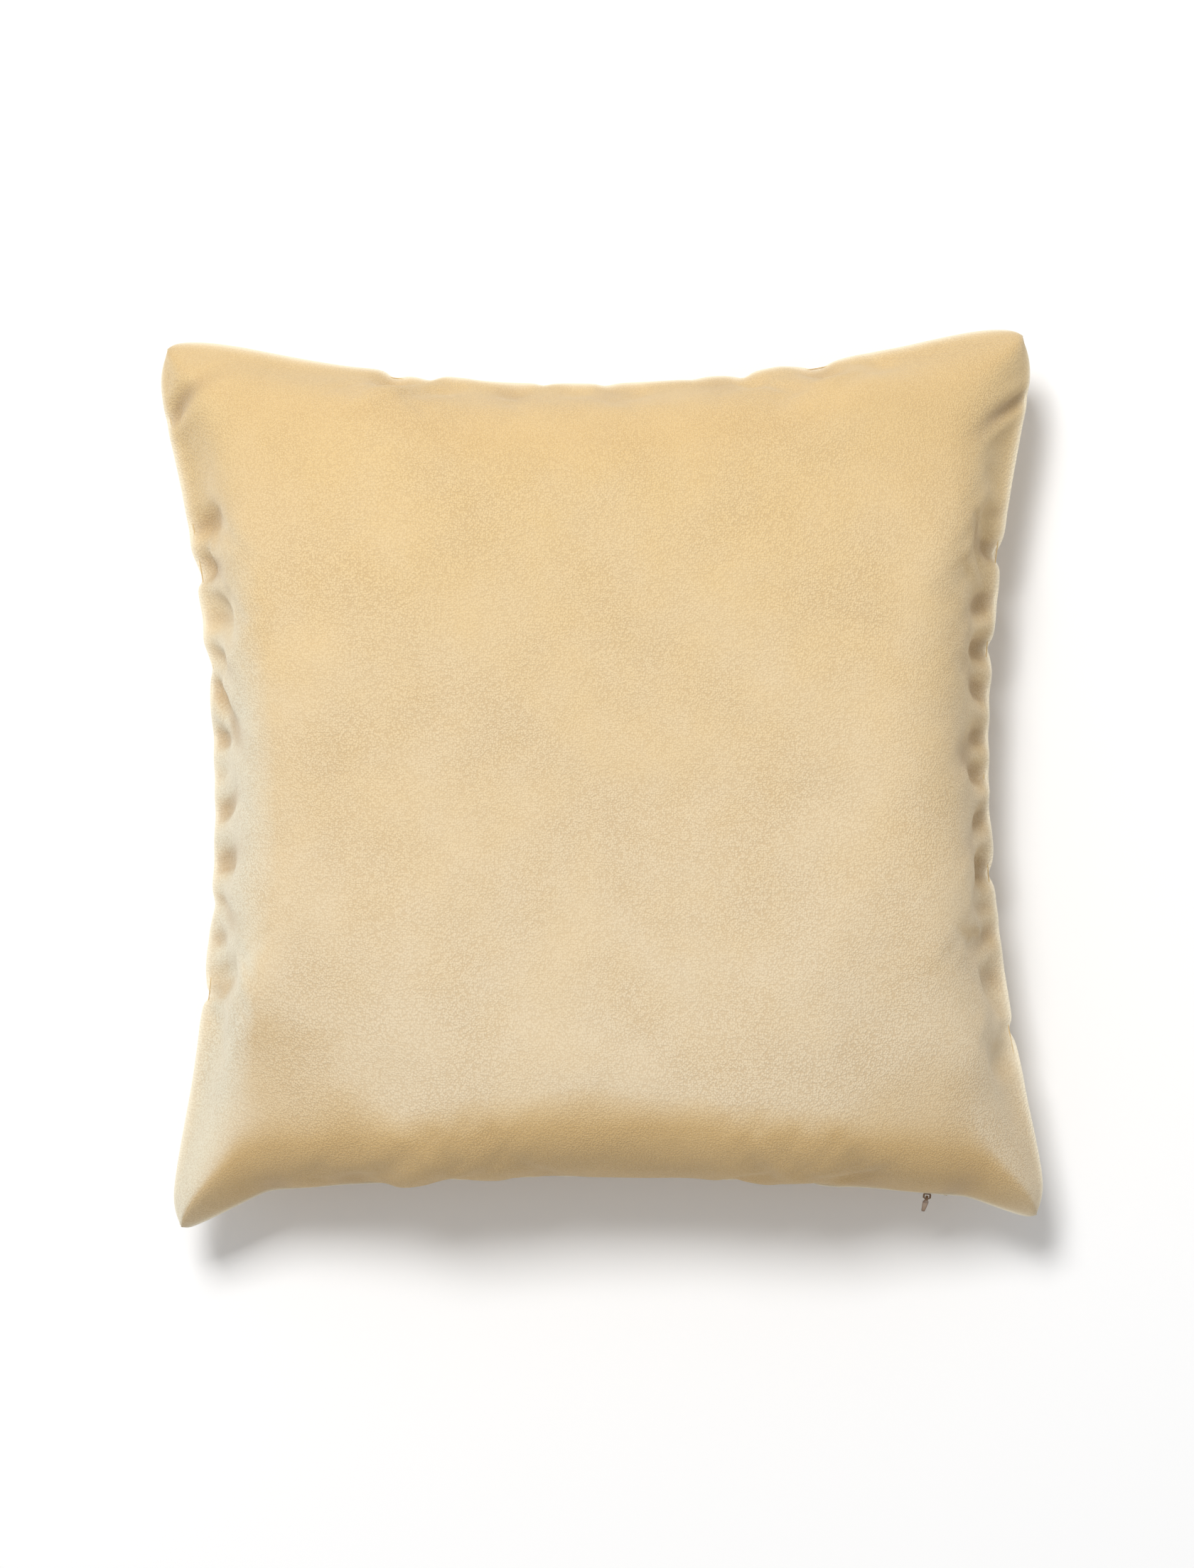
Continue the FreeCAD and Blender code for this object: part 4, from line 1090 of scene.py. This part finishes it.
def dished_tab():
    """The pull's tapered tab: a neck up to the ring, a narrowed end and a shallow dish."""
    deselect()
    shoulder = PULL_RING + PULL_NECK + PULL_WIDTH
    bpy.ops.mesh.primitive_cube_add(size=1)
    tab = bpy.context.object
    tab.name = tab.data.name = "pull_tab_dished"
    corners = points_of(tab)
    top = corners[:, 1] > 0
    half = np.where(top, PULL_WIDTH, PULL_TIP) / 2
    corners[:, 0] = np.sign(corners[:, 0]) * half
    corners[:, 1] = np.where(top, -shoulder, -PULL_LENGTH + PULL_END)
    corners[:, 2] = np.sign(corners[:, 2]) * PULL_GAUGE / 2
    place_points(tab, corners)
    bpy.ops.object.mode_set(mode="EDIT")
    bpy.ops.mesh.select_mode(type="FACE")
    faces_chosen(tab, lambda centre, normal: normal.y < -0.9)
    bpy.ops.mesh.extrude_region_move(TRANSFORM_OT_translate={"value": (0, -PULL_END, 0)})
    bpy.ops.transform.resize(value=(0.45, 1, 1))
    faces_chosen(tab, lambda centre, normal: normal.y > 0.9)
    bpy.ops.mesh.extrude_region_move(TRANSFORM_OT_translate={"value": (0, PULL_WIDTH * 0.7, 0)})
    bpy.ops.transform.resize(value=(0.5, 1, 1))
    neck = PULL_WIDTH * 0.3 + RING_OVERLAP
    bpy.ops.mesh.extrude_region_move(TRANSFORM_OT_translate={"value": (0, neck, 0)})
    low_end, high_end = shoulder + DISH_START, PULL_LENGTH - DISH_END
    faces_chosen(tab, lambda centre, normal: normal.z > 0.9 and low_end < abs(centre.y) < high_end)
    bpy.ops.mesh.inset(thickness=DISH_RIM, depth=0)
    bpy.ops.mesh.extrude_region_move(TRANSFORM_OT_translate={"value": (0, 0, -DISH_DEPTH)})
    # The dish floor takes the lighter finish, its painted highlight.
    tab.data.materials.append(ENAMEL)
    tab.data.materials.append(DISH_HIGHLIGHT_FINISH)
    tab.active_material_index = 1
    bpy.ops.object.material_slot_assign()
    bpy.ops.object.mode_set(mode="OBJECT")
    sharp = math.radians(35)
    apply_modifier(tab, "BEVEL", width=PULL_EDGE, segments=2, limit_method="ANGLE", angle_limit=sharp)
    return tab


def bail_ring():
    """The ring by which the pull hangs on the slider's bail."""
    deselect()
    bpy.ops.mesh.primitive_torus_add(
        major_segments=32, minor_segments=12, major_radius=PULL_RING, minor_radius=RING_WIRE,
        rotation=(0, math.pi / 2, 0),
    )
    ring = bpy.context.object
    bpy.ops.object.transform_apply(rotation=True)
    place_points(ring, points_of(ring) * np.array([RING_BREADTH, 1, 1]))
    ring.data.materials.append(ENAMEL)
    return ring


def pull():
    """The slim tapered pull: a ring round the bail and a dished, rounded tab."""
    tab = dished_tab()
    ring = bail_ring()
    activate(ring)
    tab.select_set(True)
    bpy.context.view_layer.objects.active = tab
    bpy.ops.object.join()
    place_points(tab, pull_place(points_of(tab)))
    activate(tab)
    bpy.ops.object.shade_smooth_by_angle(angle=math.radians(40))
    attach(tab, "pull")
    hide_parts("pull_tab")


pull()

# ---- camera, light and floor
FLOOR_GREY = (0.94, 0.94, 0.94, 1.0)
FLOOR_DROP = 0.0006
CAMERA_RISE = 2.306
CAMERA_ROLL = math.radians(-0.9)
LIGHT_AIM = (0, 0, 0.06)
ROOM_BRIGHTNESS = 0.50

deselect()
bpy.ops.mesh.primitive_plane_add(size=8, location=(0, 0, -FLOOR_DROP))
floor = bpy.context.object
floor.name = "floor"
floor.data.materials.append(new_finish("pale_floor", Base_Color=FLOOR_GREY, Roughness=0.9)[0])

camera_data = bpy.data.cameras.new("camera")
camera_data.lens = 90
camera_data.sensor_width = 36
camera = bpy.data.objects.new("camera", camera_data)
camera.location = (-0.0029, -0.0023, SEAM_RISE + CAMERA_RISE)
camera.rotation_euler = (0, 0, CAMERA_ROLL)
bpy.context.scene.collection.objects.link(camera)
bpy.context.scene.camera = camera


def soft_light(name, place, size, power):
    """A square soft box that faces the cushion."""
    data = bpy.data.lights.new(name, "AREA")
    data.size = size
    data.energy = power
    light = bpy.data.objects.new(name, data)
    light.location = place
    aim = Vector(LIGHT_AIM) - Vector(place)
    light.rotation_euler = aim.to_track_quat("-Z", "Y").to_euler()
    bpy.context.scene.collection.objects.link(light)


soft_light("key_light", place=(-0.87, 1.90, 3.75), size=1.2, power=138)
world = bpy.data.worlds.new("studio")
world.use_nodes = True
background = world.node_tree.nodes["Background"]
background.inputs["Color"].default_value = (1.0, 1.0, 1.0, 1.0)
background.inputs["Strength"].default_value = ROOM_BRIGHTNESS
bpy.context.scene.world = world
bpy.context.scene.view_settings.view_transform = "Standard"
